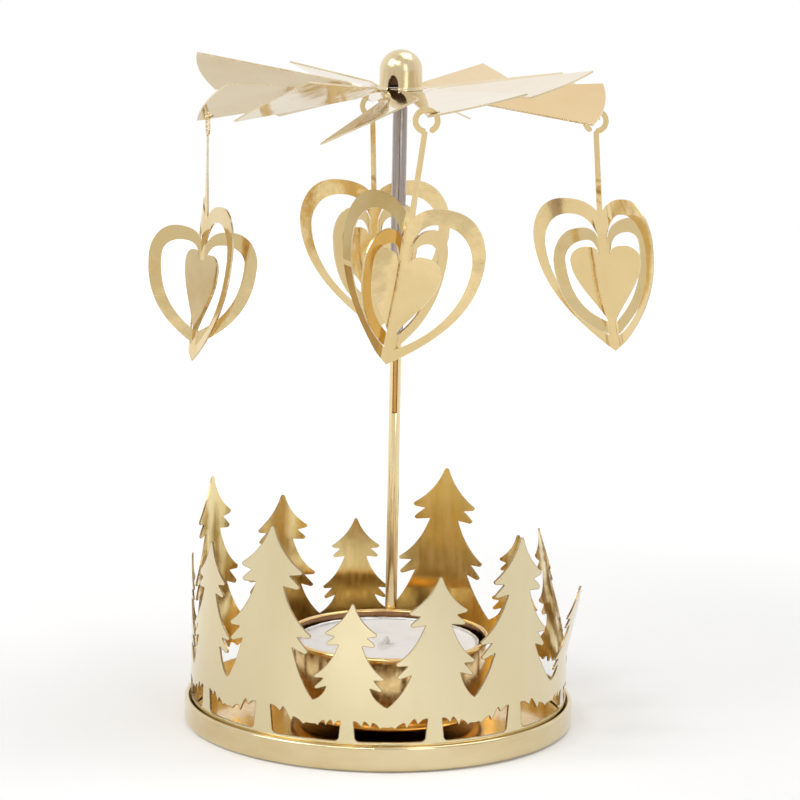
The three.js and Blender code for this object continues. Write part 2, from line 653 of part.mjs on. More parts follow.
// The three hearts, turned on the creases of their tabs
function hearts(charm) {
  const creaseOf = (top, foot) => solidOf(rod(CHARM_CREASE, foot, top, 8).rotateX(-Math.PI / 2));
  let sheet = creaseOf(STEM_FOOT, INNER_HEART.cusp - TAB_LAP)
    .add(creaseOf(INNER_HEART.tip + TAB_LAP, OUTER_HEART.tip + 2 * CHARM_CREASE));
  [1, -1].forEach((side, half) => {
    sheet = sheet.add(halfHeart(OUTER_HEART, OUTER_WINDOW, side, charm.outer[half]));
    sheet = sheet.add(halfHeart(MIDDLE_HEART, MIDDLE_WINDOW, side, charm.middle[half]));
    sheet = sheet.add(halfHeart(INNER_HEART, null, side, charm.inner[half]));
  });
  return geometryOf(sheet);
}

function heartCharm(charm) {
  const hanging = hearts(charm).translate(0, -STEM_FOOT, 0)
    .rotateX(-rad(charm.nod))
    .rotateZ(rad(charm.bend))
    .translate(0, STEM_FOOT, 0);
  return geometryOf(solidOf(hook()).add(solidOf(stem())).add(solidOf(hanging)));
}

// The hook's ring passes through its hole at the rake angle, which gives the ring's centre
function charmPlace(charm) {
  const { centre, normal } = hookHole(charm.blade);
  const along = new THREE.Vector3(Math.cos(rad(charm.plane)), Math.sin(rad(charm.plane)), 0);
  const front = new THREE.Vector3().crossVectors(along, UP);
  const slope = Math.atan2(-normal.dot(along), normal.z);
  const bearing = slope + rad(HOOK_RAKE);
  const offset = along.clone().multiplyScalar(Math.cos(bearing)).addScaledVector(UP, Math.sin(bearing));
  const position = centre.clone().addScaledVector(offset, -hookMiddle);
  const hang = new THREE.Matrix4().makeBasis(along, UP, front)
    .multiply(new THREE.Matrix4().makeRotationZ(rad(charm.lean)))
    .multiply(new THREE.Matrix4().makeRotationX(-rad(charm.tilt)));
  return { position: position.add(new THREE.Vector3(POST_X, postY, ROTOR_Z)), hang };
}

function placedCharm(charm) {
  const mesh = part(`heart_charm_${charm.name}`, heartCharm(charm), GOLD);
  const { position, hang } = charmPlace(charm);
  mesh.quaternion.setFromRotationMatrix(hang);
  mesh.position.copy(position);
  return mesh;
}

const holder = new THREE.Group();
holder.add(part('tray', tray(), GOLD));
holder.add(part('tree_ring', treeRing(), GOLD));
holder.add(part('candle_cup', candleCup(), DEEP_GOLD));
holder.add(part('post', post(), GOLD));
holder.add(part('post_tube', postTube(), STEEL));
holder.add(part('pivot_needle', pivotNeedle(), STEEL));
holder.add(part('hub_cap', hubCap(), GOLD));
holder.add(part('rotor', rotor(), GOLD));
CHARMS.forEach((charm) => holder.add(placedCharm(charm)));
holder.add(part('tealight_shell', tealightShell(), TIN));
holder.add(part('tealight_wax', tealightWax(), WAX));
holder.add(part('wick_tab', wickTab(), TIN));
holder.add(part('tealight_wick', tealightWick(), COTTON));

export default holder;
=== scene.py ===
"""Looks of the rotating candle holder: fine sheet-metal pieces over the CAD frame, materials, light
and camera. The pieces are given in millimetres and degrees, the stage in metres."""
import math
from collections import Counter, namedtuple

import bmesh
import bpy
from mathutils import Matrix, Vector
from mathutils.kdtree import KDTree


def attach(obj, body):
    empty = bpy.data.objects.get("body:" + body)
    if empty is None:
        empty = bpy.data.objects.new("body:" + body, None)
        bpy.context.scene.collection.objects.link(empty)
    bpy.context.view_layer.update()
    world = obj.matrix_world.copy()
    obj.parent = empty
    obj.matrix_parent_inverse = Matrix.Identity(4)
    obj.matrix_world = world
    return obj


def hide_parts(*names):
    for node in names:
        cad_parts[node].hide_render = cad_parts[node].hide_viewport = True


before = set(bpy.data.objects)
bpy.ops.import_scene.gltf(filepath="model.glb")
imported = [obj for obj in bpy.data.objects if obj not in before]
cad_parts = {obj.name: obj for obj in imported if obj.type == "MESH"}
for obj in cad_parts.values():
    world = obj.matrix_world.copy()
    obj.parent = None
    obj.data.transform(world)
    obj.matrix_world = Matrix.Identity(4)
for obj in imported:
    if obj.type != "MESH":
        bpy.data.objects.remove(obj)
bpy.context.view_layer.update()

MM = 0.001
UP = Vector((0, 0, 1))
GAP = 0.3  # stands for contact between pieces
SHEET = 0.4  # gauge of the plated sheet
WELD = 0.008  # corners of a sheet that are nearer than this are one
ON_CUT = 1e-5  # a corner this near to a cut lies on it
ON_SEAM = 1e-3  # a corner this near to a seam lies on it
SLOPE_STEP = 0.01  # step for the slopes that give a sheet's normals
FACE, EDGE, BACK, DEEP_REFLECTION = range(4)  # places in a sheet's list of materials

rad = math.radians


def smooth(value, low, high):
    """0 up to low, 1 from high on, and a soft change between."""
    run = min(1.0, max(0.0, (value - low) / (high - low)))
    return run * run * (3 - 2 * run)


# Materials


def set_sockets(node, values):
    """Sets constants on a node's sockets; the names are written with _ for a space."""
    for name, value in values.items():
        node.inputs[name.replace("_", " ")].default_value = value


def new_node(tree, kind, **values):
    node = tree.nodes.new("ShaderNode" + kind)
    set_sockets(node, values)
    return node


class Nodes:
    """A small helper around one material's node tree."""

    def __init__(self, name):
        self.material = bpy.data.materials.new(name)
        self.material.use_nodes = True
        self.tree = self.material.node_tree
        self.shader = self.tree.nodes["Principled BSDF"]
        self.coords = self.new("TexCoord")

    def new(self, kind, **values):
        return new_node(self.tree, kind, **values)

    def set(self, **values):
        set_sockets(self.shader, values)

    def link(self, out, into):
        self.tree.links.new(out, into)

    def feed(self, socket, out):
        self.link(out, self.shader.inputs[socket])

    def noise(self, scale, detail=3.0, stretch=(1, 1, 1), rough=0.5):
        mapping = self.new("Mapping", Scale=stretch)
        self.link(self.coords.outputs["Object"], mapping.inputs["Vector"])
        node = self.new("TexNoise", Scale=scale, Detail=detail, Roughness=rough)
        self.link(mapping.outputs["Vector"], node.inputs["Vector"])
        return node.outputs["Fac"]

    def ramp(self, fac, stops):
        node = self.new("ValToRGB")
        elements = node.color_ramp.elements
        while len(elements) < len(stops):
            elements.new(0.5)
        for element, (place, colour) in zip(elements, stops):
            element.position = place
            element.color = (*colour, 1)
        self.link(fac, node.inputs["Fac"])
        return node.outputs["Color"]

    def spread(self, fac, low, high, start=0.3, end=0.7):
        """Low where the factor is start, high where it is end."""
        node = self.new("MapRange", From_Min=start, From_Max=end, To_Min=low, To_Max=high)
        self.link(fac, node.inputs["Value"])
        return node.outputs["Result"]

    def bump(self, heights):
        """Bumps one over the other: (height, depth in mm) pairs."""
        last = None
        for height, depth in heights:
            node = self.new("Bump", Strength=1.0, Distance=depth * MM)
            self.link(height, node.inputs["Height"])
            if last:
                self.link(last, node.inputs["Normal"])
            last = node.outputs["Normal"]
        self.feed("Normal", last)


# Noise scales of plated sheet: broad tones, waves, rolling marks, haze and specks
TONES, WAVES, MARKS, HAZE, SPECKS = 70, 75, 420, 900, 4200
MARK_DEPTH = 0.012
SPECK_DEPTH = 0.0015


def plated(name, light, dark, rough, grain=1.0, wave=0.2):
    """Polished and lacquered plated sheet: soft tone changes, faint rolling marks, small waves and
    specks. A grain under 1 draws the marks out upwards; wave is the waves' depth in mm."""
    n = Nodes(name)
    n.set(Metallic=1.0, Coat_Weight=0.35, Coat_Roughness=0.03)
    drawn = (1, 1, grain)
    n.feed("Base Color", n.ramp(n.noise(TONES, 4, drawn), [(0.3, dark), (0.62, light)]))
    n.feed("Roughness", n.spread(n.noise(HAZE, 5, drawn), rough * 0.7, rough * 1.5))
    n.bump([(n.noise(WAVES, 2), wave), (n.noise(MARKS, 3, drawn), MARK_DEPTH),
            (n.noise(SPECKS, 2), SPECK_DEPTH)])
    return n.material


gold_blade = plated("gold_blade_sheet", (0.83, 0.69, 0.47), (0.80, 0.63, 0.39), 0.07)
# Darker gold for the undersides of the blades and the disc: painted shade
gold_blade_under_painted_shade = plated("gold_blade_under_painted_shade", (0.59, 0.475, 0.275), (0.55, 0.41, 0.205), 0.09)
# Deeper orange gold on two blades' fronts: painted reflection of the gold around them
gold_blade_painted_deep_reflection = plated("gold_blade_painted_deep_reflection", (0.80, 0.585, 0.285), (0.77, 0.53, 0.235), 0.07)
gold_charm = plated("gold_charm_sheet", (0.78, 0.605, 0.31), (0.73, 0.54, 0.245), 0.08)
# Amber, umber and brown on some charm halves: painted reflections of the gold beside them
amber_painted_reflection = plated("gold_charm_amber_painted_reflection", (0.68, 0.40, 0.08), (0.58, 0.31, 0.05), 0.1)
umber_painted_reflection = plated("gold_charm_umber_painted_reflection", (0.62, 0.47, 0.22), (0.50, 0.34, 0.11), 0.1)
brown_painted_reflection = plated("gold_charm_brown_painted_reflection", (0.50, 0.29, 0.07), (0.36, 0.18, 0.04), 0.1)
gold_trees = plated("gold_tree_sheet", (0.73, 0.635, 0.405), (0.695, 0.585, 0.345), 0.14,
                    0.25, 0.16)
# Deeper gold on the trees' inward faces: painted reflection of the gold ring around them
inner_face_painted_reflection = plated("gold_inner_face_painted_reflection", (0.86, 0.70, 0.335), (0.78, 0.59, 0.23), 0.13, 0.2, 0.16)
gold_drawn = plated("gold_drawn", (0.71, 0.59, 0.36), (0.63, 0.49, 0.26), 0.12, 3, 0.10)
# The cap's strong upright light and dark streaks: painted reflection bands
gold_cap = plated("gold_cap_painted_reflection_streaks", (0.80, 0.66, 0.41), (0.56, 0.42, 0.22), 0.2, 0.12, 0.22)
# Dark brown gold inside the cap, seen through its window: painted shade
cap_inside_painted_shade = plated("gold_cap_inside_painted_shade", (0.55, 0.34, 0.19), (0.42, 0.24, 0.12), 0.5)
gold_rod = plated("gold_rod", (0.87, 0.71, 0.41), (0.79, 0.60, 0.30), 0.12, 0.1, 0.08)
# Dark amber in the rod's groove: painted shade in the recess
gold_groove_painted_shade = plated("gold_groove_painted_shade", (0.62, 0.36, 0.10), (0.50, 0.27, 0.06), 0.3, 0.1, 0.05)
# Deeper, darker gold inside the tray, between the trees: painted shade
tray_inside_painted_shade = plated("gold_tray_inside_painted_shade", (0.74, 0.52, 0.22), (0.62, 0.40, 0.14), 0.14, 3, 0.12)
cup_gold = plated("gold_cup", (0.86, 0.63, 0.30), (0.66, 0.43, 0.15), 0.16, wave=0.12)
# Dark brown gold inside the cup: painted shade
cup_inside_painted_shade = plated("gold_cup_inside_painted_shade", (0.34, 0.18, 0.085), (0.20, 0.095, 0.045), 0.2, 0.3, 0.1)
# Dark gold for the trees' cut edges and the rim strip along their fronts: painted shade, a dark
# outline round each tree
tree_edge_painted_shade = plated("gold_tree_edge_painted_shade", (0.46, 0.34, 0.17), (0.24, 0.15, 0.06), 0.25, wave=0.05)
gold_edge = plated("gold_cut_edge", (0.80, 0.67, 0.44), (0.64, 0.50, 0.28), 0.25, wave=0.05)


def drawn_steel():
    n = Nodes("drawn_steel")
    n.set(Metallic=1.0, Anisotropic=0.4)
    streak = n.noise(2600, 4, (1, 1, 0.006), 0.6)
    dark, middle, light = (0.26, 0.22, 0.20), (0.44, 0.385, 0.355), (0.62, 0.555, 0.52)
    n.feed("Base Color", n.ramp(streak, [(0.33, dark), (0.5, middle), (0.66, light)]))
    n.feed("Roughness", n.spread(n.noise(500), 0.26, 0.44))
    n.bump([(streak, 0.02), (n.noise(3000, 2), 0.003)])
    return n.material


def pressed_tin():
    n = Nodes("pressed_tin")
    n.set(Metallic=1.0)
    dark, light = (0.62, 0.62, 0.64), (0.82, 0.82, 0.84)
    n.feed("Base Color", n.ramp(n.noise(300), [(0.3, dark), (0.7, light)]))
    n.feed("Roughness", n.spread(n.noise(900), 0.22, 0.4))
    n.bump([(n.noise(500), 0.04)])
    return n.material


def candle_wax():
    n = Nodes("candle_wax")
    n.set(Subsurface_Weight=0.25, Subsurface_Radius=(0.004, 0.0035, 0.003), IOR=1.44)
    dark, middle, light = (0.88, 0.85, 0.87), (0.95, 0.925, 0.915), (0.97, 0.95, 0.94)
    mottle = n.noise(260, 5, rough=0.6)
    n.feed("Base Color", n.ramp(mottle, [(0.25, dark), (0.5, middle), (0.75, light)]))
    n.feed("Roughness", n.spread(n.noise(700), 0.35, 0.6))
    n.bump([(n.noise(180), 0.12), (n.noise(1500), 0.01)])
    return n.material


def braided_cotton():
    n = Nodes("braided_cotton")
    n.set(Roughness=0.9, Sheen_Weight=0.2)
    strand = n.noise(2200, 2, (1, 1, 0.5))
    dark, light = (0.80, 0.77, 0.74), (0.93, 0.91, 0.89)
    n.feed("Base Color", n.ramp(strand, [(0.3, dark), (0.7, light)]))
    n.bump([(strand, 0.15)])
    return n.material


steel = drawn_steel()
tin = pressed_tin()
wax = candle_wax()
cotton = braided_cotton()


# Lines and curves


def arc(x, y, radius, start, end, steps):
    turns = (rad(start + (end - start) * i / steps) for i in range(steps + 1))
    return [(x + radius * math.cos(t), y + radius * math.sin(t)) for t in turns]


def circle(x, y, radius, count):
    return arc(x, y, radius, 0, 360, count)[:-1]


def quadratic(a, b, c, steps):
    """Points of a curve from a, drawn towards b, to c, without the first."""
    return [tuple((1 - t) ** 2 * p + 2 * t * (1 - t) * q + t * t * r for p, q, r in zip(a, b, c))
            for t in (i / steps for i in range(1, steps + 1))]


def cubic(a, b, c, d, steps):
    """Points of a curve from a, drawn towards b and c, to d, without the first."""
    return [tuple((1 - t) ** 3 * p + 3 * t * (1 - t) ** 2 * q + 3 * t * t * (1 - t) * r + t ** 3 * s
                  for p, q, r, s in zip(a, b, c, d))
            for t in (i / steps for i in range(1, steps + 1))]


def lines(low, high, step):
    """Places of even cuts between low and high, about a step apart."""
    count = max(1, int((high - low) / step))
    return [low + (high - low) * i / count for i in range(1, count)]


# Sheets and solids


def face_up(flat):
    for face in flat.faces:
        face.normal_update()
        if face.normal.z < 0:
            face.normal_flip()


def flat_mesh(loops, cuts_u, cuts_v, rim):
    """Fills flat outlines, the later ones as holes, marks a rim along them and cuts the fill along
    lines of constant u and v."""
    flat = bmesh.new()
    mark = flat.faces.layers.int.new("rim")
    for loop in loops:
        verts = [flat.verts.new((u, v, 0)) for u, v in loop]
        for a, b in zip(verts, verts[1:] + verts[:1]):
            flat.edges.new((a, b))
    bmesh.ops.triangle_fill(flat, use_beauty=True, edges=flat.edges[:])
    if rim:
        face_up(flat)
        border = bmesh.ops.inset_region(flat, faces=flat.faces[:], thickness=rim,
                                        use_boundary=True)
        for face in border["faces"]:
            face[mark] = 1
    for cuts, normal in ((cuts_u, (1, 0, 0)), (cuts_v, (0, 1, 0))):
        for cut in cuts:
            geom = flat.verts[:] + flat.edges[:] + flat.faces[:]
            at = (cut * normal[0], cut * normal[1], 0)
            bmesh.ops.bisect_plane(flat, geom=geom, dist=ON_CUT, plane_co=at, plane_no=normal)
    face_up(flat)
    return flat


def sheet_normal(place, u, v):
    du = place(u + SLOPE_STEP, v, 0) - place(u - SLOPE_STEP, v, 0)
    dv = place(u, v + SLOPE_STEP, 0) - place(u, v - SLOPE_STEP, 0)
    return du.cross(dv).normalized()


def link_object(name, mesh):
    obj = bpy.data.objects.new(name, mesh)
    bpy.context.scene.collection.objects.link(obj)
    return obj


class Shell:
    """Sheets of metal, each a flat outline set in space, with two faces, cut edges and normals."""

    def __init__(self):
        self.verts = []
        self.faces = []  # corners, their normals, and the place in the list of materials

    def add(self, loops, cuts_u, cuts_v, place, face=FACE, back=FACE, tint=None, rim=0, seam=None):
        """Adds a sheet. place sets (u, v, above) in space, tint gives the front's material by u
        and v (the charms' painted reflections), and the rim is a strip along the front's edge in
        the edge material (painted shade on the trees) that is left out at seams."""
        flat = flat_mesh(loops, cuts_u, cuts_v, rim)
        mark = flat.faces.layers.int["rim"]
        flat.verts.ensure_lookup_table()
        flat.verts.index_update()
        start = len(self.verts)
        under = start + len(flat.verts)
        turns = [sheet_normal(place, vert.co.x, vert.co.y) for vert in flat.verts]
        for above in (SHEET / 2, -SHEET / 2):
            self.verts.extend(place(vert.co.x, vert.co.y, above) for vert in flat.verts)
        for polygon in flat.faces:
            index = [vert.index for vert in polygon.verts]
            middle = polygon.calc_center_median()
            kind = tint(middle.x, middle.y) if tint else face
            joined = seam and any(seam(vert.co.x, vert.co.y) for vert in polygon.verts)
            if polygon[mark] and not joined:
                kind = EDGE
            self.faces.append(([start + i for i in index], [turns[i] for i in index], kind))
            index.reverse()
            self.faces.append(([under + i for i in index], [-turns[i] for i in index], back))
        for edge in flat.edges:
            if len(edge.link_loops) != 1:
                continue
            loop = edge.link_loops[0]
            a, b = loop.vert.index, loop.link_loop_next.vert.index
            corners = [start + b, start + a, under + a, under + b]
            p, q, r = (self.verts[corner] for corner in corners[:3])
            side = (q - p).cross(r - q).normalized()
            self.faces.append((corners, [side] * 4, EDGE))
        flat.free()

    def welded(self):
        """The faces with corners that lie on each other made one, without the walls where two
        sheets join."""
        tree = KDTree(len(self.verts))
        for i, vert in enumerate(self.verts):
            tree.insert(vert, i)
        tree.balance()
        first = [min(i for _, i, _ in tree.find_range(vert, WELD)) for vert in self.verts]
        whole = []
        for corners, normals, kind in self.faces:
            kept = {}
            for corner, normal in zip(corners, normals):
                kept.setdefault(first[corner], normal)
            if len(kept) > 2:
                whole.append((list(kept), list(kept.values()), kind))
        times = Counter(frozenset(corners) for corners, _, _ in whole)
        return [face for face in whole if times[frozenset(face[0])] == 1]

    def object(self, name, materials):
        faces = self.welded()
        used = sorted({index for corners, _, _ in faces for index in corners})
        renamed = {index: i for i, index in enumerate(used)}
        mesh = bpy.data.meshes.new(name)
        mesh.from_pydata([self.verts[index] * MM for index in used], [],
                         [[renamed[index] for index in corners] for corners, _, _ in faces])
        for material in materials:
            mesh.materials.append(material)
        mesh.polygons.foreach_set("material_index", [kind for _, _, kind in faces])
        mesh.polygons.foreach_set("use_smooth", [True] * len(faces))
        mesh.normals_split_custom_set([normal for _, normals, _ in faces for normal in normals])
        return link_object(name, mesh)


def solid(name, verts, faces, material, sharp):
    mesh = bpy.data.meshes.new(name)
    mesh.from_pydata([Vector(v) * MM for v in verts], [], faces)
    mesh.materials.append(material)
    mesh.shade_smooth()
    mesh.set_sharp_from_angle(angle=rad(sharp))
    return link_object(name, mesh)


def turned(name, profile, material, segments, centre=(0, 0), closed=False, sharp=35, ripple=None,
           inside=None, first=0):
    """Turns a profile of (radius, height) points about an upright line. ripple lifts each point;
    from row first on, the faces have the inside's material."""
    verts = []
    rows = []
    for radius, height in profile:
        if radius < 1e-6:
            rows.append([len(verts)] * segments)
            verts.append((*centre, height))
            continue
        row = []
        for j in range(segments):
            t = 2 * math.pi * j / segments
            lift = ripple(radius, height, t) if ripple else 0
            row.append(len(verts))
            verts.append((centre[0] + radius * math.cos(t), centre[1] + radius * math.sin(t),
                          height + lift))
        rows.append(row)
    faces = []
    kinds = []
    for number, (low, high) in enumerate(zip(rows, rows[1:] + (rows[:1] if closed else []))):
        for j in range(segments):
            k = (j + 1) % segments
            face = list(dict.fromkeys((low[j], low[k], high[k], high[j])))
            if len(face) > 2:
                faces.append(face)
                kinds.append(1 if inside and number >= first else 0)
    obj = solid(name, verts, faces, material, sharp)
    if inside:
        obj.data.materials.append(inside)
        obj.data.polygons.foreach_set("material_index", kinds)
    return obj


def loft(name, sections, material, sharp):
    """Joins closed sections of equal point counts, with flat ends."""
    count = len(sections[0])
    verts = [p for section in sections for p in section]
    last = len(verts) - count
    faces = []
    for low in range(0, last, count):
        for j in range(count):
            k = (j + 1) % count
            faces.append((low + j, low + k, low + count + k, low + count + j))
    faces.append(tuple(reversed(range(count))))
    faces.append(tuple(range(last, last + count)))
    return solid(name, verts, faces, material, sharp)


def put(obj, body, node):
    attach(obj, body)
    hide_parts(node)


# Tray

TRAY_RADIUS = 42.5
TRAY_HEIGHT = 5.4
TRAY_GAUGE = 0.6
TRAY_BEAD = 0.55
TRAY_CORNER = 1.0
TRAY_FILLET = 0.5


def make_tray():
    wall = TRAY_RADIUS - TRAY_GAUGE
    bead = TRAY_HEIGHT - TRAY_BEAD
    outside = [(0, 0)]
    outside += arc(TRAY_RADIUS - TRAY_CORNER, TRAY_CORNER, TRAY_CORNER, -90, 0, 8)
    outside += [(TRAY_RADIUS - 0.06, 2.6), (TRAY_RADIUS - 0.1, 4.2)]
    outside += arc(TRAY_RADIUS - TRAY_BEAD, bead, TRAY_BEAD, -10, 210, 16)
    within = [(wall, bead - TRAY_BEAD), (wall, TRAY_GAUGE + TRAY_FILLET),
              (wall - TRAY_FILLET, TRAY_GAUGE), (30, TRAY_GAUGE), (0, TRAY_GAUGE)]
    tray = turned("gold_tray", outside + within, gold_drawn, 192, inside=tray_inside_painted_shade,
                  first=len(outside) - 2)
    put(tray, "base", "tray")


# Ring of trees

RING_OUTER = TRAY_RADIUS - 2 * TRAY_BEAD - GAP
RING_BOTTOM = TRAY_GAUGE + GAP
STRIP_TOP = 6.1
SKIRT = 9.4
TREE_TOP = 50.2
# Width of the rim strip along the trees' fronts, which takes the painted dark outline of their edge
# material
TREE_RIM = 0.13
VALLEY_BASE = 5.0
VALLEY_SHARE = 0.22
VALLEY_TOP = VALLEY_BASE + VALLEY_SHARE * TREE_TOP
CROWDING = 1.3  # how much more room a taller tree takes than its neighbour
BARK = 0.038  # half width of a trunk, as a share of the tree's height

# Degrees of the tip from the front, height as a share of the tallest, lean outwards and sideways
Tree = namedtuple("Tree", "turn tall lean sway")
TREES = [Tree(*row) for row in (
    (-63.2, 0.855, -1.8, 0.5), (-33.2, 1, 0, 3.3), (-7.8, 0.705, 0, 2.5), (17.8, 0.819, 0, 1.6),
    (46, 0.944, 0, 2), (75, 0.661, 12, 0), (103, 0.823, -12, 0), (130.7, 0.707, 0, 0),
    (158.8, 0.962, 0, -2), (188.2, 0.711, 0, 0), (213.4, 0.841, 0, -1.5), (247, 0.996, 0, 0),
    (273, 0.733, 0, 0),
)]

# A fir's side from the tip down: across and up as shares of the height, and how far it is rounded
BARB, NOTCH = 0.42, 0.3
FIR_TIP = [(0, 1, 0), (0.006, 0.9985, 0), (0.0105, 0.993, 0)]
FIR_UPPER = [(0.157, 0.821, BARB), (0.150, 0.808, BARB), (0.096, 0.800, NOTCH), (0.130, 0.773, 0),
             (0.149, 0.755, BARB), (0.138, 0.744, BARB), (0.069, 0.752, NOTCH)]
FIR_LOWER = [(0.213, 0.557, BARB), (0.206, 0.543, BARB), (0.149, 0.545, NOTCH), (0.183, 0.510, 0),
             (0.205, 0.487, BARB), (0.193, 0.475, BARB), (0.129, 0.498, NOTCH)]


def softened(corners):
    """A line through (u, v, radius) corners, each rounded over that distance."""
    line = []
    for i, (u, v, radius) in enumerate(corners):
        if not radius:
            line.append((u, v))
            continue
        ends = []
        for other in (corners[i - 1], corners[i + 1]):
            away = math.dist((u, v), other[:2])
            share = min(radius / away, 0.48)
            ends.append((u + (other[0] - u) * share, v + (other[1] - v) * share))
        line.append(ends[0])
        line += quadratic(ends[0], (u, v), ends[1], 5)
    return line


def fir_side(height, reach, valley):
    """One side of a fir with its piece of the strip, from the tip down."""
    def at(across, up):
        return across * height, up * height

    def boughs(rows):
        return [(*at(across, up), radius) for across, up, radius in rows]

    def sweep(start, middle, end, steps):
        return [(u, v, 0) for u, v in quadratic(start, middle, end, steps)]

    side = boughs(FIR_TIP)
    side += sweep(side[-1][:2], at(0.045, 0.895), at(0.140, 0.832), 10)
    side += boughs(FIR_UPPER)
    side += sweep(at(0.075, 0.74), at(0.112, 0.63), at(0.196, 0.568), 10)
    side += boughs(FIR_LOWER)
    hollow = ((0.132 * height + reach) / 2 - 0.9, (0.498 * height + valley) / 2 - 0.6)
    side += sweep(at(0.135, 0.487), hollow, (reach, valley), 12)

    bark = BARK * height
    span = reach - bark
    apex = SKIRT - 2.9 + 0.11 * height
    # The ragged hem: shares of the span, heights and roundings
    hem = [(0.86, SKIRT, 0.5), (0.80, SKIRT - 0.45, 0.3), (0.72, SKIRT + 0.35, 0.4),
           (0.575, SKIRT + 0.95, 0.3), (0.52, SKIRT - 0.3, 0.3),
           (0.41, (SKIRT + apex) / 2 + 0.3, 0.5), (0.325, apex + 0.15, 0.3),
           (0.25, apex - 1.1, 0.3), (0.12, apex - 0.1, 0.4)]
    side += [(reach, SKIRT, 0)]
    side += [(bark + share * span, v, radius) for share, v, radius in hem]
    side += [(bark, apex + 0.1, 0.3), (1.3 * bark, STRIP_TOP + 0.5, 0.4),
             (1.4 * bark + 0.5, STRIP_TOP, 0.4), (reach, STRIP_TOP, 0), (reach, RING_BOTTOM, 0)]
    return softened(side)


def trunk(tree):
    """Degrees of the tree's foot from the front."""
    slip = (tree.tall * TREE_TOP - VALLEY_TOP) * math.tan(rad(tree.sway))
    return tree.turn - math.degrees(slip / RING_OUTER)


def skirt(tree, other):
    """How far a tree reaches towards a neighbour, and the height where they meet."""
    gap = abs((trunk(other) - trunk(tree) + 180) % 360 - 180)
    share = tree.tall ** CROWDING / (tree.tall ** CROWDING + other.tall ** CROWDING)
    valley = VALLEY_BASE + VALLEY_SHARE * TREE_TOP * (tree.tall + other.tall) / 2
    return RING_OUTER * rad(gap * share), valley


def tree_place(tree):
    """Bends a tree round the ring; it leans from the valleys on."""
    root = rad(trunk(tree))
    lean, sway = math.tan(rad(tree.lean)), math.tan(rad(tree.sway))

    def place(u, v, above):
        rise = max(0.0, v - VALLEY_TOP)
        t = root + (u + sway * rise) / RING_OUTER
        radius = RING_OUTER - SHEET / 2 + above + rise * lean
        return Vector((radius * math.sin(t), -radius * math.cos(t), v))
    return place


def seam_at(*ends):
    """Tells whether a place is on one of the lines, up to the valley, where two trees join."""
    def seam(u, v):
        return any(abs(u - end) < ON_SEAM and v < valley + ON_SEAM for end, valley in ends)
    return seam


def make_trees():
    ring = Shell()
    for i, tree in enumerate(TREES):
        height = tree.tall * TREE_TOP
        right, valley_right = skirt(tree, TREES[(i + 1) % len(TREES)])
        left, valley_left = skirt(tree, TREES[i - 1])
        loop = [(-u, v) for u, v in fir_side(height, left, valley_left)[1:]]
        loop += reversed(fir_side(height, right, valley_right))
        heights = [VALLEY_TOP] + lines(VALLEY_TOP, height, 4)
        ring.add([loop], lines(-left, right, 0.9), heights, tree_place(tree), back=BACK,
                 rim=TREE_RIM, seam=seam_at((right, valley_right), (-left, valley_left)))
    put(ring.object("gold_fir_ring", [gold_trees, tree_edge_painted_shade, inner_face_painted_reflection]),
        "base", "tree_ring")


# Cup and tealight

TONGUE = 0.8  # gauge of the post's flat foot
CUP_X = 1.9
CUP_RADIUS = 21.5
CUP_TOP = 19.0
CUP_CORNER = 2.5
CUP_BEAD = 0.6
CUP_BOTTOM = TRAY_GAUGE + GAP + TONGUE + GAP
CUP_FLOOR = CUP_BOTTOM + SHEET
LIGHT_RADIUS = 19.5
LIGHT_BOTTOM = CUP_FLOOR + GAP
LIGHT_TOP = LIGHT_BOTTOM + 15.0
CASE_GAUGE = 0.25
CASE_INSIDE = LIGHT_RADIUS - CASE_GAUGE
WAX_RADIUS = CASE_INSIDE - 0.06
WAX_BOTTOM = 5.6
WAX_TOP = LIGHT_TOP - 1.0
WICK_HOLE = 0.9
WICK_RADIUS = 0.5
WICK_HEADING = 252


def make_cup():
    bead = CUP_TOP - CUP_BEAD
    waist = 10
    corner = (CUP_RADIUS - CUP_CORNER, CUP_BOTTOM + CUP_CORNER)
    outside = [(0, CUP_BOTTOM)]
    outside += arc(*corner, CUP_CORNER, -90, 0, 10)
    outside += [(CUP_RADIUS, waist), (CUP_RADIUS, bead - CUP_BEAD)]
    outside += arc(CUP_RADIUS - SHEET + CUP_BEAD, bead, CUP_BEAD, -130, 180, 16)
    within = [(CUP_RADIUS - SHEET, waist)]
    within += arc(*corner, CUP_CORNER - SHEET, 0, -90, 8)
    within += [(0, CUP_FLOOR)]
    cup = turned("gold_cup", outside + within, cup_gold, 160, (CUP_X, 0), inside=cup_inside_painted_shade,
                 first=len(outside) - 2)
    put(cup, "base", "candle_cup")


def crimp(radius, height, t):
    """Small waves along the case's lip."""
    return 0.05 * math.sin(23 * t) * math.sin(9 * t + 1) if height > LIGHT_TOP - 1.2 else 0


def make_case():
    lip = CASE_GAUGE * 1.6
    floor = LIGHT_BOTTOM + CASE_GAUGE
    profile = [(0, LIGHT_BOTTOM), (LIGHT_RADIUS - 0.4, LIGHT_BOTTOM),
               (LIGHT_RADIUS, LIGHT_BOTTOM + 0.4), (LIGHT_RADIUS, LIGHT_TOP - 2 * lip)]
    profile += arc(CASE_INSIDE + lip, LIGHT_TOP - lip, lip, -30, 180, 10)
    profile += [(CASE_INSIDE, floor), (0, floor)]
    case = turned("tealight_case", profile, tin, 144, (CUP_X, 0), ripple=crimp)
    put(case, "tealight", "tealight_shell")


def swell(radius, height, t):
    """The wax's uneven top."""
    if height < WAX_TOP - 1:
        return 0
    tilt = 0.06 * math.sin(2 * t + 0.6) * (radius / WAX_RADIUS) ** 2
    return tilt + 0.03 * math.sin(5 * t + radius)


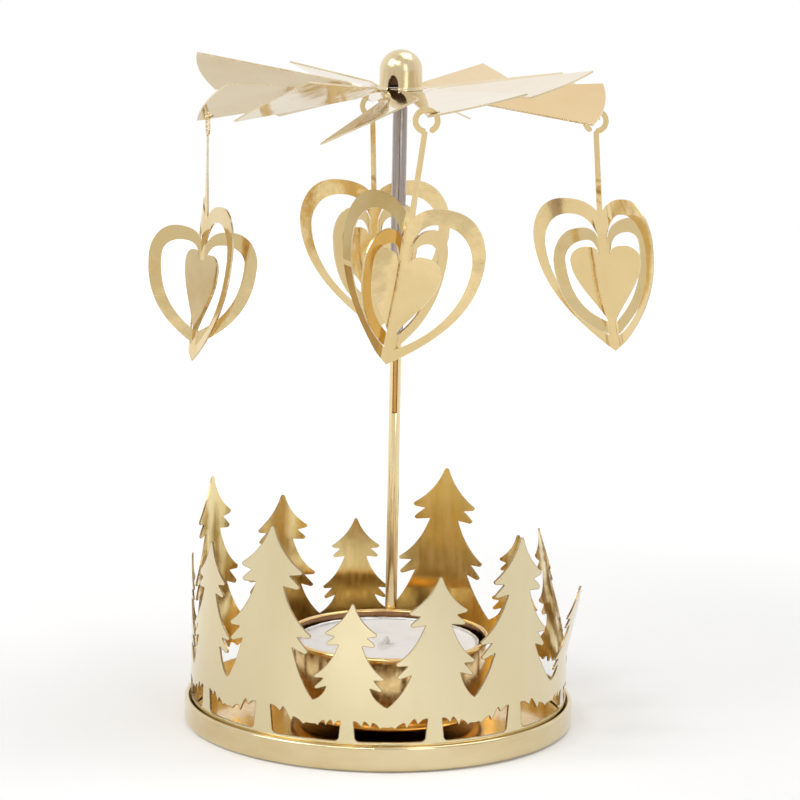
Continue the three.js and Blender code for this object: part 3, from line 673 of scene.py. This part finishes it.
def make_wax():
    # With heights over the wax's level: insets from the side, and radii round the wick
    shoulder = [(0, 0.5), (0.15, 0.3), (0.45, 0.12), (1.0, 0.03)]
    collar = [(1.9, -0.02), (1.3, 0.1), (0.95, -0.1), (WICK_HOLE, -2)]
    profile = [(WICK_HOLE, WAX_BOTTOM), (WAX_RADIUS, WAX_BOTTOM)]
    profile += [(WAX_RADIUS - inset, WAX_TOP + rise) for inset, rise in shoulder]
    profile += [(WAX_RADIUS * share, WAX_TOP - 0.05) for share in (0.85, 0.65, 0.45, 0.25)]
    profile += [(radius, WAX_TOP + rise) for radius, rise in collar]
    fill = turned("tealight_wax_fill", profile, wax, 144, (CUP_X, 0), closed=True, sharp=70,
                  ripple=swell)
    put(fill, "tealight", "tealight_wax")


def make_wick():
    """A braid that stands up out of the wax, bends over and lies down."""
    heading = Vector((math.cos(rad(WICK_HEADING)), math.sin(rad(WICK_HEADING)), 0))
    lying = 0.3 + 0.65
    route = [(0, -4), (0, -2), (0, 0), (0.56, 1.36), (2.08, 1.6), (3.6, lying + 0.15), (6, lying)]
    points = [heading * along + Vector((CUP_X, 0, WAX_TOP + rise)) for along, rise in route]
    path = []
    for i in range(1, len(points) - 1):
        a = (points[i - 1] + points[i]) / 2 if i > 1 else points[0]
        c = (points[i] + points[i + 1]) / 2 if i < len(points) - 2 else points[-1]
        path += [Vector(p) for p in quadratic(a, points[i], c, 10)]
    across = heading.cross(UP)
    count = 20
    sections = []
    for i, p in enumerate(path):
        along = (path[min(i + 1, len(path) - 1)] - path[max(i - 1, 0)]).normalized()
        other = along.cross(across)
        ring = []
        for j in range(count):
            t = 2 * math.pi * j / count
            radius = WICK_RADIUS + 0.05 * math.sin(3 * t + i * 0.9)
            ring.append(p + across * (radius * math.cos(t)) + other * (radius * math.sin(t)))
        sections.append(ring)
    put(loft("tealight_braid", sections, cotton, 60), "tealight", "tealight_wick")


# Post

POST_RADIUS = 1.3
POST_X = 2.5
POST_Y = CUP_RADIUS - SHEET + 2 * CUP_BEAD + GAP + POST_RADIUS
POST_POINTS = 72
TONGUE_HALF = 1.7
FOOT_Z = TRAY_GAUGE + GAP + TONGUE / 2
FOOT_BEND = 1.2
SHOULDER = 80.0
GROOVE_HALF = 0.55
GROOVE_DEPTH = 0.7
GROOVE_SIDE = 0.1
GROOVE_BOTTOM = 63.7
TUBE_OUTER = 1.6
TUBE_INNER = TUBE_OUTER - 0.3
TUBE_BOTTOM = SHOULDER + GAP
TUBE_TOP = 132.1
TUBE_SEAM = 0.07  # half the gap
TUBE_POINTS = 64


def round_section(z, groove=0.0):
    """The rod with a groove of that depth in its front."""
    ring = []
    for x, y in circle(0, 0, POST_RADIUS, POST_POINTS):
        if y < 0 and abs(x) < GROOVE_HALF:
            y += groove * min(1.0, (GROOVE_HALF - abs(x)) / GROOVE_SIDE)
        ring.append(Vector((POST_X + x, POST_Y + y, z)))
    return ring


def flat_section(centre, normal, flat):
    """Between the round rod, flat 0, and the flattened strip, flat 1."""
    power = 1 - 0.75 * flat
    wide = POST_RADIUS + (TONGUE_HALF - POST_RADIUS) * flat
    thick = POST_RADIUS + (TONGUE / 2 - POST_RADIUS) * flat
    ring = []
    for c, s in circle(0, 0, 1, POST_POINTS):
        x = wide * math.copysign(abs(c) ** power, c)
        y = thick * math.copysign(abs(s) ** power, s)
        ring.append(centre + Vector((x, 0, 0)) + normal * y)
    return ring


def make_post():
    """A round rod with a groove up its front, flattened below and bent in under the cup."""
    back = Vector((0, 1, 0))
    middle = Vector((POST_X, POST_Y, 0))
    bend_y = POST_Y - FOOT_BEND
    sections = [flat_section(Vector((POST_X, y, FOOT_Z)), -UP, 1)
                for y in (-TONGUE_HALF, 10, bend_y)]
    for t in (15, 30, 45, 60, 75):
        c, s = math.cos(rad(t)), math.sin(rad(t))
        centre = Vector((POST_X, bend_y + FOOT_BEND * s, FOOT_Z + FOOT_BEND - FOOT_BEND * c))
        sections.append(flat_section(centre, back * s - UP * c, 1))
    for z, flat in ((2.6, 1), (10, 1), (15.5, 1), (16.3, 0.85), (17.1, 0.55), (17.9, 0.25),
                    (18.7, 0.06), (19.5, 0)):
        sections.append(flat_section(middle + UP * z, back, flat))
    for z in (40, GROOVE_BOTTOM - 0.3):
        sections.append(round_section(z))
    for rise, groove in ((0, 0.1), (0.1, 0.5), (0.3, 0.68), (0.7, GROOVE_DEPTH), (8, GROOVE_DEPTH),
                         (SHOULDER - GROOVE_BOTTOM, GROOVE_DEPTH)):
        sections.append(round_section(GROOVE_BOTTOM + rise, groove))
    rod = loft("gold_post", sections, gold_rod, 40)
    rod.data.materials.append(gold_groove_painted_shade)
    # The groove's faces take the painted shade
    for face in rod.data.polygons:
        x, y, z = face.center / MM
        sunk = math.hypot(x - POST_X, y - POST_Y) < 0.9 * POST_RADIUS
        if sunk and GROOVE_BOTTOM < z < SHOULDER:
            face.material_index = 1
    put(rod, "base", "post")


def make_tube():
    """The steel tube, rolled from strip, with its seam at the front."""
    edge = math.degrees(math.asin(TUBE_SEAM / TUBE_OUTER))
    start, end = edge - 90, 270 - edge
    ring = arc(0, 0, TUBE_OUTER, start, end, TUBE_POINTS)
    ring += arc(0, 0, TUBE_INNER, end, start, TUBE_POINTS)
    sections = []
    for z, inset in ((TUBE_BOTTOM, 0.06), (TUBE_BOTTOM + 0.2, 0), (95, 0), (115, 0),
                     (TUBE_TOP - 0.2, 0), (TUBE_TOP, 0.06)):
        scale = 1 - inset / TUBE_OUTER
        sections.append([Vector((POST_X + x * scale, POST_Y + y * scale, z)) for x, y in ring])
    put(loft("steel_tube", sections, steel, 40), "base", "post_tube")


# Rotor and cap

ROTOR_Z = 135.7
ROTOR_RADIUS = 45.0
HUB = Vector((POST_X, POST_Y, ROTOR_Z))
DISC = 6.5
EYE = 2.4
SLIT = 0.5
TURN_END = 12.0
BLADE_FIRST = 21.5
# Degrees of twist, and lift at the rim
BLADES = [(22, -2.0), (25, -2.0), (27, -5.0), (25, -2.0), (27, -4.5), (25, 3.0),
          (25, -2.0), (25, 0.0), (26, -3.0), (11, 0.7), (11, 4.4), (18, -1.8)]
# The blades whose fronts take the painted deep reflection
DEEP_REFLECTION_BLADES = (1, 11)
BLADE_PITCH = 360 / len(BLADES)
HALF_BLADE = rad(BLADE_PITCH / 2)
HOLE_RADIUS = 1.1
HOLE_EDGE = 1.9
HOLE_ALONG = (ROTOR_RADIUS - HOLE_EDGE) * math.cos(HALF_BLADE)
HOLE_ACROSS = -HOLE_ALONG * math.tan(HALF_BLADE) + (HOLE_EDGE + SLIT / 2) / math.cos(HALF_BLADE)
CAP_RADIUS = 4.7
CAP_BOTTOM = ROTOR_Z + SHEET / 2 + GAP
CAP_TOP = CAP_BOTTOM + 8.5
CAP_HEM = -0.25
CAP_FLARE = 0.22
CROWN_END = 0.9996  # share of the dome's arc, so near the axis that the corners weld
WINDOW_TURN = -21.7
WINDOW_FOOT = 2.4
WINDOW_HEAD = 1.2
WINDOW_HEIGHT = 3.1


def on_blade(index, along, across, above):
    twist, lift = BLADES[index]
    turn = rad(twist) * smooth(along, DISC, TURN_END)
    slope = lift * max(0.0, along - DISC) / (ROTOR_RADIUS - DISC)
    y = across * math.cos(turn) - above * math.sin(turn)
    z = across * math.sin(turn) + above * math.cos(turn) + slope
    heading = Matrix.Rotation(rad(BLADE_FIRST + BLADE_PITCH * index), 3, "Z")
    return heading @ Vector((along, y, z))


def blade_place(index):
    def place(u, v, above):
        return HUB + on_blade(index, u, v, above)
    return place


def disc_place(u, v, above):
    return HUB + Vector((u, v, above))


def blade_reach(radius):
    """Degrees from a blade's middle to its edge, which leaves half the slit."""
    return BLADE_PITCH / 2 - math.degrees(math.asin(SLIT / 2 / radius))


def make_rotor(drilled):
    sheet = Shell()
    root, tip = blade_reach(DISC), blade_reach(ROTOR_RADIUS)
    straight = TURN_END + 0.5
    cuts = lines(DISC - 0.3, straight, 0.5) + [straight] + lines(straight, ROTOR_RADIUS, 4)
    rim = []
    for index in range(len(BLADES)):
        loops = [arc(0, 0, DISC, root, -root, 12) + arc(0, 0, ROTOR_RADIUS, -tip, tip, 30)]
        if index in drilled:
            loops.append(circle(HOLE_ALONG, HOLE_ACROSS, HOLE_RADIUS, 32))
        sheet.add(loops, cuts, [], blade_place(index), back=BACK,
                  face=DEEP_REFLECTION if index in DEEP_REFLECTION_BLADES else FACE)
        heading = BLADE_FIRST + BLADE_PITCH * index
        rim += arc(0, 0, DISC, heading - root, heading + root, 12)
    sheet.add([rim, circle(0, 0, EYE, 48)], [], [], disc_place, back=BACK)
    sheets = [gold_blade, gold_edge, gold_blade_under_painted_shade, gold_blade_painted_deep_reflection]
    put(sheet.object("gold_rotor", sheets), "spinner", "rotor")


def make_cap():
    """A drawn bell with an arched window, as a sheet laid round and up its profile."""
    radius = CAP_RADIUS - SHEET / 2
    crown = CAP_RADIUS * 0.97 - SHEET / 2
    straight = CAP_TOP - SHEET / 2 - crown - CAP_BOTTOM
    dome = 0.5 * math.pi * radius
    around = math.pi * radius

    def place(u, v, above):
        t = u / radius + rad(WINDOW_TURN)
        if v <= straight:
            r = radius + above + CAP_FLARE * (1 - smooth(v, -0.3, 0.5))
            z = CAP_BOTTOM + v
        else:
            k = min(1.0, (v - straight) / dome) * math.pi / 2
            r = (radius + above) * math.cos(k)
            z = CAP_BOTTOM + straight + (crown + above) * math.sin(k)
        return Vector((POST_X + r * math.sin(t), POST_Y - r * math.cos(t), z))

    foot, sill = WINDOW_FOOT / 2, WINDOW_HEIGHT * 0.25
    flank, head = (0.46 * WINDOW_FOOT, 0.8 * WINDOW_HEIGHT), (0.5 * WINDOW_HEAD, WINDOW_HEIGHT)
    arch = [(foot, CAP_HEM), (foot, sill)]
    arch += cubic(arch[-1], flank, head, (0, WINDOW_HEIGHT), 10)
    arch += cubic(arch[-1], (-head[0], head[1]), (-flank[0], flank[1]), (-foot, sill), 10)
    arch += [(-foot, CAP_HEM)]
    top = straight + dome * CROWN_END
    loop = [(around, CAP_HEM), (around, top), (-around, top), (-around, CAP_HEM)]
    loop += reversed(arch)
    flare_end = 0.65
    heights = lines(CAP_HEM, flare_end, 0.15) + lines(flare_end, straight, 1.0)
    heights += [straight] + lines(straight, top, 0.35)
    cap = Shell()
    cap.add([loop], lines(-around, around, 0.35), heights, place, back=BACK)
    put(cap.object("gold_cap", [gold_cap, gold_edge, cap_inside_painted_shade]), "spinner", "hub_cap")


# Heart charms

HOOK_INNER = 1.7
STRIP = 1.2
HOOK_MIDDLE = HOOK_INNER + STRIP / 2
HOOK_OPEN = -50.0  # degrees of the hook's free end
HOOK_REST = 30  # degrees round the hook from the blade's normal to the hole
STEM_FOOT = -20.9
STEM_END = STEM_FOOT - 0.9
BEND_START = 0.7
REFLECTION_HIGH, REFLECTION_LOW = -33.9, -35  # between these the front charm's outer half keeps its own gold; above and below it has painted reflections
# From this u outwards, the front charm's halves take the painted reflections
REFLECTION_FROM = -1.4
AMBER_REFLECTION, UMBER_REFLECTION, BROWN_REFLECTION = 2, 3, 4  # places in the charms' list of materials, for painted reflections

# Heights from the hook's middle; tab: half widths at cusp and tip; full: shape of the flank
Heart = namedtuple("Heart", "width top cusp belly tip tab full")
OUTER = Heart(18.2, -17.2, -21.5, -26.8, -52.6, (0, 0), (0.51, 0.26, 0.43))
OUTER_WINDOW = Heart(15.5, -20.7, -26.4, -28, -49.1, (0.9, 1.1), (0.58, 0.22, 0.42))
MIDDLE = Heart(12.8, -23.2, -26.8, -30.2, -48.75, (0.9, 1.1), (0.58, 0.2, 0.54))
MIDDLE_WINDOW = Heart(10, -26.2, -29.9, -29.9, -45.9, (1.3, 1.05), (0.57, 0.18, 0.57))
INNER = Heart(8.7, -28.4, -30.3, -31.6, -45.3, (1.3, 1.05), (0.41, 0.32, 0.36))
# Where the hearts are joined: height and half width of the upper and the lower tab
OUTER_TABS = ((-26.6, 0.9), (-48.92, 1.1))
INNER_TABS = ((-30.1, 1.3), (-45.6, 1.05))
# Each heart with its window, the tabs that it hangs by, those in its window, and its bend's end
LAYERS = {
    "outer": (OUTER, OUTER_WINDOW, None, OUTER_TABS, 4.0),
    "middle": (MIDDLE, MIDDLE_WINDOW, OUTER_TABS, INNER_TABS, 1.8),
    "inner": (INNER, None, INNER_TABS, None, 4.0),
}
# The blade that it hangs on, its plane, how it hangs and droops, and the turns of the two halves
CHARMS = {
    "front": dict(blade=9, plane=0, lean=-7.4, tilt=-4.2, bend=-1.2, nod=1,
                  outer=(26.5, -45.5), middle=(-47.5, 52), inner=(21, -30)),
    "right": dict(blade=0, plane=180, lean=-4.4, tilt=3, bend=-4.2, nod=0,
                  outer=(35, -60), middle=(-25, 36), inner=(29, -29)),
    "back": dict(blade=3, plane=180, lean=-2, tilt=0, bend=0, nod=0,
                 outer=(16, -15), middle=(-44, 40), inner=(15, -15)),
    "left": dict(blade=6, plane=281, lean=0, tilt=0, bend=0, nod=5.5,
                 outer=(-11, -8), middle=(-74, 70), inner=(-16, 16)),
}


def heart_line(heart):
    """Half of a heart's line, from the tip up."""
    width, top, cusp, belly, tip, tab, full = heart
    drop = belly - tip
    path = [(tab[1], tip)]
    path += cubic(path[-1], (full[0] * width, tip + full[1] * drop),
                  (width, belly - full[2] * drop), (width, belly), 16)
    path += cubic(path[-1], (width, belly + 0.5 * (top - belly)), (0.83 * width, top),
                  (0.53 * width, top), 14)
    path += cubic(path[-1], (0.23 * width, top),
                  (0.07 * width + tab[0], cusp + 0.62 * (top - cusp)), (tab[0], cusp), 12)
    return path


def half_outline(heart, window, tabs, window_tabs):
    """One half of a heart, with half of the tabs that it shares with its neighbours."""
    inside = []
    if window:
        (upper, upper_half), (lower, lower_half) = window_tabs
        inside = [(0, upper), (upper_half, upper), *reversed(heart_line(window)),
                  (lower_half, lower), (0, lower)]
    if tabs:
        (upper, upper_half), (lower, lower_half) = tabs
        inside = [(upper_half, upper), (0, upper), *inside, (0, lower), (lower_half, lower)]
    clean = []
    for p in heart_line(heart) + inside:
        if not clean or math.dist(p, clean[-1]) > 1e-4:
            clean.append(p)
    return clean


def hook_outline():
    """The stem, and a hook that is open at one side."""
    outer, half = HOOK_INNER + STRIP, STRIP / 2
    stem = 270 - math.degrees(math.asin(half / outer))
    outline = arc(0, 0, outer, HOOK_OPEN, stem, 48)
    outline += [(-half, STEM_END), (half, STEM_END), (half, -HOOK_MIDDLE - 0.35),
                (0.45, -HOOK_MIDDLE), (0.12, -HOOK_MIDDLE + 0.15)]
    outline += arc(0, 0, HOOK_INNER, 270, HOOK_OPEN, 40)
    end = (HOOK_MIDDLE * math.cos(rad(HOOK_OPEN)), HOOK_MIDDLE * math.sin(rad(HOOK_OPEN)))
    outline += arc(*end, half, HOOK_OPEN + 180, HOOK_OPEN + 360, 10)[1:-1]
    return outline


def bent(start, end, low, high):
    """Distance from the middle line to a place in the turned half: the flat tab, a bend, then
    straight."""
    steps = 60
    size = high / steps

    def slant(s):
        return rad(start + (end - start) * smooth(s, low, high))

    table = [(0.0, 0.0)]
    for i in range(steps):
        angle = slant((i + 0.5) * size)
        x, z = table[-1]
        table.append((x + size * math.cos(angle), z + size * math.sin(angle)))

    def at(s):
        angle = slant(s)
        i = min(steps, max(0, int(s / size)))
        rest = s - i * size
        return table[i][0] + rest * math.cos(angle), table[i][1] + rest * math.sin(angle), angle
    return at


def charm_place(charm):
    """Where the hook's middle is, and how the charm hangs from it."""
    blade = charm["blade"]
    centre = on_blade(blade, HOLE_ALONG, HOLE_ACROSS, 0)
    outward = on_blade(blade, HOLE_ALONG + 1, HOLE_ACROSS, 0) - centre
    sideways = on_blade(blade, HOLE_ALONG, HOLE_ACROSS + 1, 0) - centre
    normal = outward.cross(sideways).normalized()
    along = Vector((math.cos(rad(charm["plane"])), math.sin(rad(charm["plane"])), 0))
    front = along.cross(UP)
    bearing = math.atan2(-normal.dot(along), normal.z) + rad(HOOK_REST)
    offset = along * math.cos(bearing) + UP * math.sin(bearing)
    position = HUB + centre - offset * HOOK_MIDDLE
    basis = Matrix((along, UP, front)).transposed()
    lean = Matrix.Rotation(rad(charm["lean"]), 3, "Z")
    tilt = Matrix.Rotation(-rad(charm["tilt"]), 3, "X")
    return position, basis @ lean @ tilt


def charm_painted_reflection(name, level):
    """Painted reflections of the gold beside them, on some halves: two of the front charm's, and
    the left one's inner heart."""
    def tint(u, v):
        if (name, level) == ("left", "inner"):
            return UMBER_REFLECTION
        if name != "front" or level == "inner" or u > REFLECTION_FROM:
            return FACE
        if level == "middle":
            return AMBER_REFLECTION
        return UMBER_REFLECTION if v > REFLECTION_HIGH else BROWN_REFLECTION if v < REFLECTION_LOW else FACE
    return tint


def make_charm(name, charm):
    position, hang = charm_place(charm)
    bend = Matrix.Rotation(rad(charm["bend"]), 3, "Z")
    nod = Matrix.Rotation(-rad(charm["nod"]), 3, "X")
    droop = bend @ nod
    foot = Vector((0, STEM_FOOT, 0))
    strip = charm["inner"][0]  # the stem's foot and the tabs are turned with the inner heart

    def stem_place(u, v, above):
        turn = rad(strip) * smooth(-v, 6, 20)
        x = u * math.cos(turn) - above * math.sin(turn)
        z = u * math.sin(turn) + above * math.cos(turn)
        return position + hang @ Vector((x, v, z))

    def half_place(side, at):
        def place(u, v, above):
            x, z, angle = at(side * u)
            x -= above * math.sin(angle)
            point = Vector((side * x, v, z + above * math.cos(angle)))
            return position + hang @ (foot + droop @ (point - foot))
        return place

    shell = Shell()
    shell.add([hook_outline()], [], lines(STEM_END, -3, 0.8), stem_place)
    for level, (heart, window, tabs, window_tabs, bend_end) in LAYERS.items():
        outline = half_outline(heart, window, tabs, window_tabs)
        cuts = lines(0, 2, 0.14) + lines(2, 4.2, 0.4) + lines(4.2, heart.width, 3)
        heights = lines(heart.tip, heart.top, 4) + [REFLECTION_HIGH, REFLECTION_LOW]
        for side, turn in zip((1, -1), charm[level]):
            at = bent(strip * side, turn, BEND_START, bend_end)
            shell.add([[(side * u, v) for u, v in outline]], [side * cut for cut in cuts], heights,
                      half_place(side, at), tint=charm_painted_reflection(name, level))
    sheets = [gold_charm, gold_edge, amber_painted_reflection, umber_painted_reflection, brown_painted_reflection]
    put(shell.object("gold_heart_" + name, sheets), "charm_" + name, "heart_charm_" + name)


# Floor, light and camera, in metres

FLOOR_HALF = 0.8
FLOOR_Z = -0.0002
BEHIND_GLOW, BEHIND_START, BEHIND_END = 0.42, -0.3, 0.75  # by Y
AROUND_GLOW, AROUND_START, AROUND_END = 0.15, 0.72, 0.8  # by the distance from the middle
ROOM_LIGHT = 0.45  # for rays that don't show the background
ROOM_FRONT, ROOM_BACK = 0.80, 1.0  # in reflections
MIX_FACTOR, MIX_A, MIX_B = 0, 2, 3  # sockets of a Mix node
TARGET = (0, 0, 0.07)
# Place, aim, size, watts and degrees of spread
LAMPS = {
    "key": ((-1.15, -0.5, 1.2), TARGET, (0.9, 0.9), 9, 180),
    "top": ((0.5, 0.3, 1.5), TARGET, (1.0, 1.0), 6.5, 180),
    "front": ((-0.3, -0.7, 0.9), (-0.14, -0.28, 0), (0.4, 0.4), 1.4, 180),
    "pool": ((-0.1, -0.6, 0.8), (-0.02, -0.16, 0), (0.08, 0.08), 0.026, 14),
    "fill": ((0.62, -1.25, 0.6), TARGET, (0.35, 0.9), 2.0, 180),
}
CAMERA_PLACE = (0, -0.700, 0.199)
CAMERA_PITCH, CAMERA_YAW, CAMERA_ROLL = rad(10.37), rad(0.29), rad(1.10)
SENSOR = 36.0
LENS = 3293 / 800 * SENSOR  # a focal length of 3293 pixels in a picture 800 wide


def greatest(tree, first, *others):
    for other in others:
        node = new_node(tree, "Math")
        node.operation = "MAXIMUM"
        tree.links.new(first, node.inputs[0])
        tree.links.new(other, node.inputs[1])
        first = node.outputs["Value"]
    return first


def seen_rays(tree):
    """1 for the rays that show the background: the camera's, those mirrored in metal and those
    through glass."""
    light = new_node(tree, "LightPath")
    kinds = ("Is Camera Ray", "Is Glossy Ray", "Is Transmission Ray")
    return greatest(tree, *(light.outputs[kind] for kind in kinds))


def make_floor():
    """A pale floor that glows towards its far ends, so that it runs into the white background."""
    half = FLOOR_HALF
    mesh = bpy.data.meshes.new("floor")
    corners = ((-half, -half), (half, -half), (half, half), (-half, half))
    mesh.from_pydata([(x, y, FLOOR_Z) for x, y in corners], [], [(0, 1, 2, 3)])
    obj = link_object("floor", mesh)
    n = Nodes("pale_floor")
    n.set(Roughness=0.9, Specular_IOR_Level=0.1)
    dark, light = (0.90, 0.90, 0.90), (0.92, 0.92, 0.92)
    n.feed("Base Color", n.ramp(n.noise(6, 2), [(0.3, dark), (0.7, light)]))
    place = n.new("SeparateXYZ")
    n.link(n.coords.outputs["Object"], place.inputs["Vector"])
    behind = n.spread(place.outputs["Y"], 0.0, BEHIND_GLOW, BEHIND_START, BEHIND_END)
    away = n.new("VectorMath")
    away.operation = "LENGTH"
    n.link(n.coords.outputs["Object"], away.inputs[0])
    around = n.spread(away.outputs["Value"], 0.0, AROUND_GLOW, AROUND_START, AROUND_END)
    glow = n.new("Emission")
    n.link(greatest(n.tree, behind, around), glow.inputs["Strength"])
    add = n.new("AddShader")
    n.link(n.shader.outputs["BSDF"], add.inputs[0])
    n.link(glow.outputs["Emission"], add.inputs[1])
    mix = n.new("MixShader")
    n.link(seen_rays(n.tree), mix.inputs["Fac"])
    n.link(n.shader.outputs["BSDF"], mix.inputs[1])
    n.link(add.outputs["Shader"], mix.inputs[2])
    n.link(mix.outputs["Shader"], n.tree.nodes["Material Output"].inputs["Surface"])
    mesh.materials.append(n.material)


def make_world():
    """White to the camera; in reflections, the back of the room is brighter than the front."""
    world = bpy.data.worlds.new("studio")
    bpy.context.scene.world = world
    world.use_nodes = True
    tree = world.node_tree
    link = tree.links.new
    coords = new_node(tree, "TexCoord")
    split = new_node(tree, "SeparateXYZ")
    link(coords.outputs["Generated"], split.inputs["Vector"])
    room = new_node(tree, "MapRange", From_Min=-0.5, From_Max=0.7, To_Min=ROOM_FRONT,
                    To_Max=ROOM_BACK)
    room.interpolation_type = "SMOOTHSTEP"
    link(split.outputs["Y"], room.inputs["Value"])
    light = new_node(tree, "LightPath")
    glossy, through, camera = (new_node(tree, "Mix") for _ in range(3))
    link(light.outputs["Is Glossy Ray"], glossy.inputs[MIX_FACTOR])
    glossy.inputs[MIX_A].default_value = ROOM_LIGHT
    link(room.outputs["Result"], glossy.inputs[MIX_B])
    link(light.outputs["Is Transmission Ray"], through.inputs[MIX_FACTOR])
    link(glossy.outputs[0], through.inputs[MIX_A])
    link(room.outputs["Result"], through.inputs[MIX_B])
    link(light.outputs["Is Camera Ray"], camera.inputs[MIX_FACTOR])
    link(through.outputs[0], camera.inputs[MIX_A])
    camera.inputs[MIX_B].default_value = 1.0
    back = tree.nodes["Background"]
    back.inputs["Color"].default_value = (1, 1, 1, 1)
    link(camera.outputs[0], back.inputs["Strength"])


def area_light(name, place, aim, size, power, spread):
    data = bpy.data.lights.new(name, "AREA")
    data.shape = "RECTANGLE"
    data.size, data.size_y = size
    data.energy = power
    data.spread = rad(spread)
    obj = link_object(name, data)
    obj.location = place
    obj.rotation_euler = (Vector(aim) - Vector(place)).to_track_quat("-Z", "Y").to_euler()


def make_camera():
    level = Vector((math.sin(CAMERA_YAW), math.cos(CAMERA_YAW), 0))
    forward = level * math.cos(CAMERA_PITCH) - UP * math.sin(CAMERA_PITCH)
    right = level.cross(UP)
    up = right.cross(forward)
    across = right * math.cos(CAMERA_ROLL) + up * math.sin(CAMERA_ROLL)
    upward = up * math.cos(CAMERA_ROLL) - right * math.sin(CAMERA_ROLL)
    data = bpy.data.cameras.new("camera")
    data.sensor_fit = "HORIZONTAL"
    data.sensor_width = SENSOR
    data.lens = LENS
    data.clip_start = 0.01
    obj = link_object("camera", data)
    turn = Matrix((across, upward, -forward)).transposed().to_4x4()
    obj.matrix_world = Matrix.Translation(CAMERA_PLACE) @ turn
    bpy.context.scene.camera = obj


make_tray()
make_trees()
make_cup()
make_case()
make_wax()
make_wick()
make_post()
make_tube()
make_rotor({charm["blade"] for charm in CHARMS.values()})
make_cap()
for charm_name, charm_values in CHARMS.items():
    make_charm(charm_name, charm_values)
for node_name, node_material in (("pivot_needle", steel), ("wick_tab", tin)):
    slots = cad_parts[node_name].data.materials
    slots.clear()
    slots.append(node_material)

make_floor()
make_world()
for lamp_name, lamp_values in LAMPS.items():
    area_light(lamp_name, *lamp_values)
make_camera()
bpy.context.scene.view_settings.view_transform = "Standard"
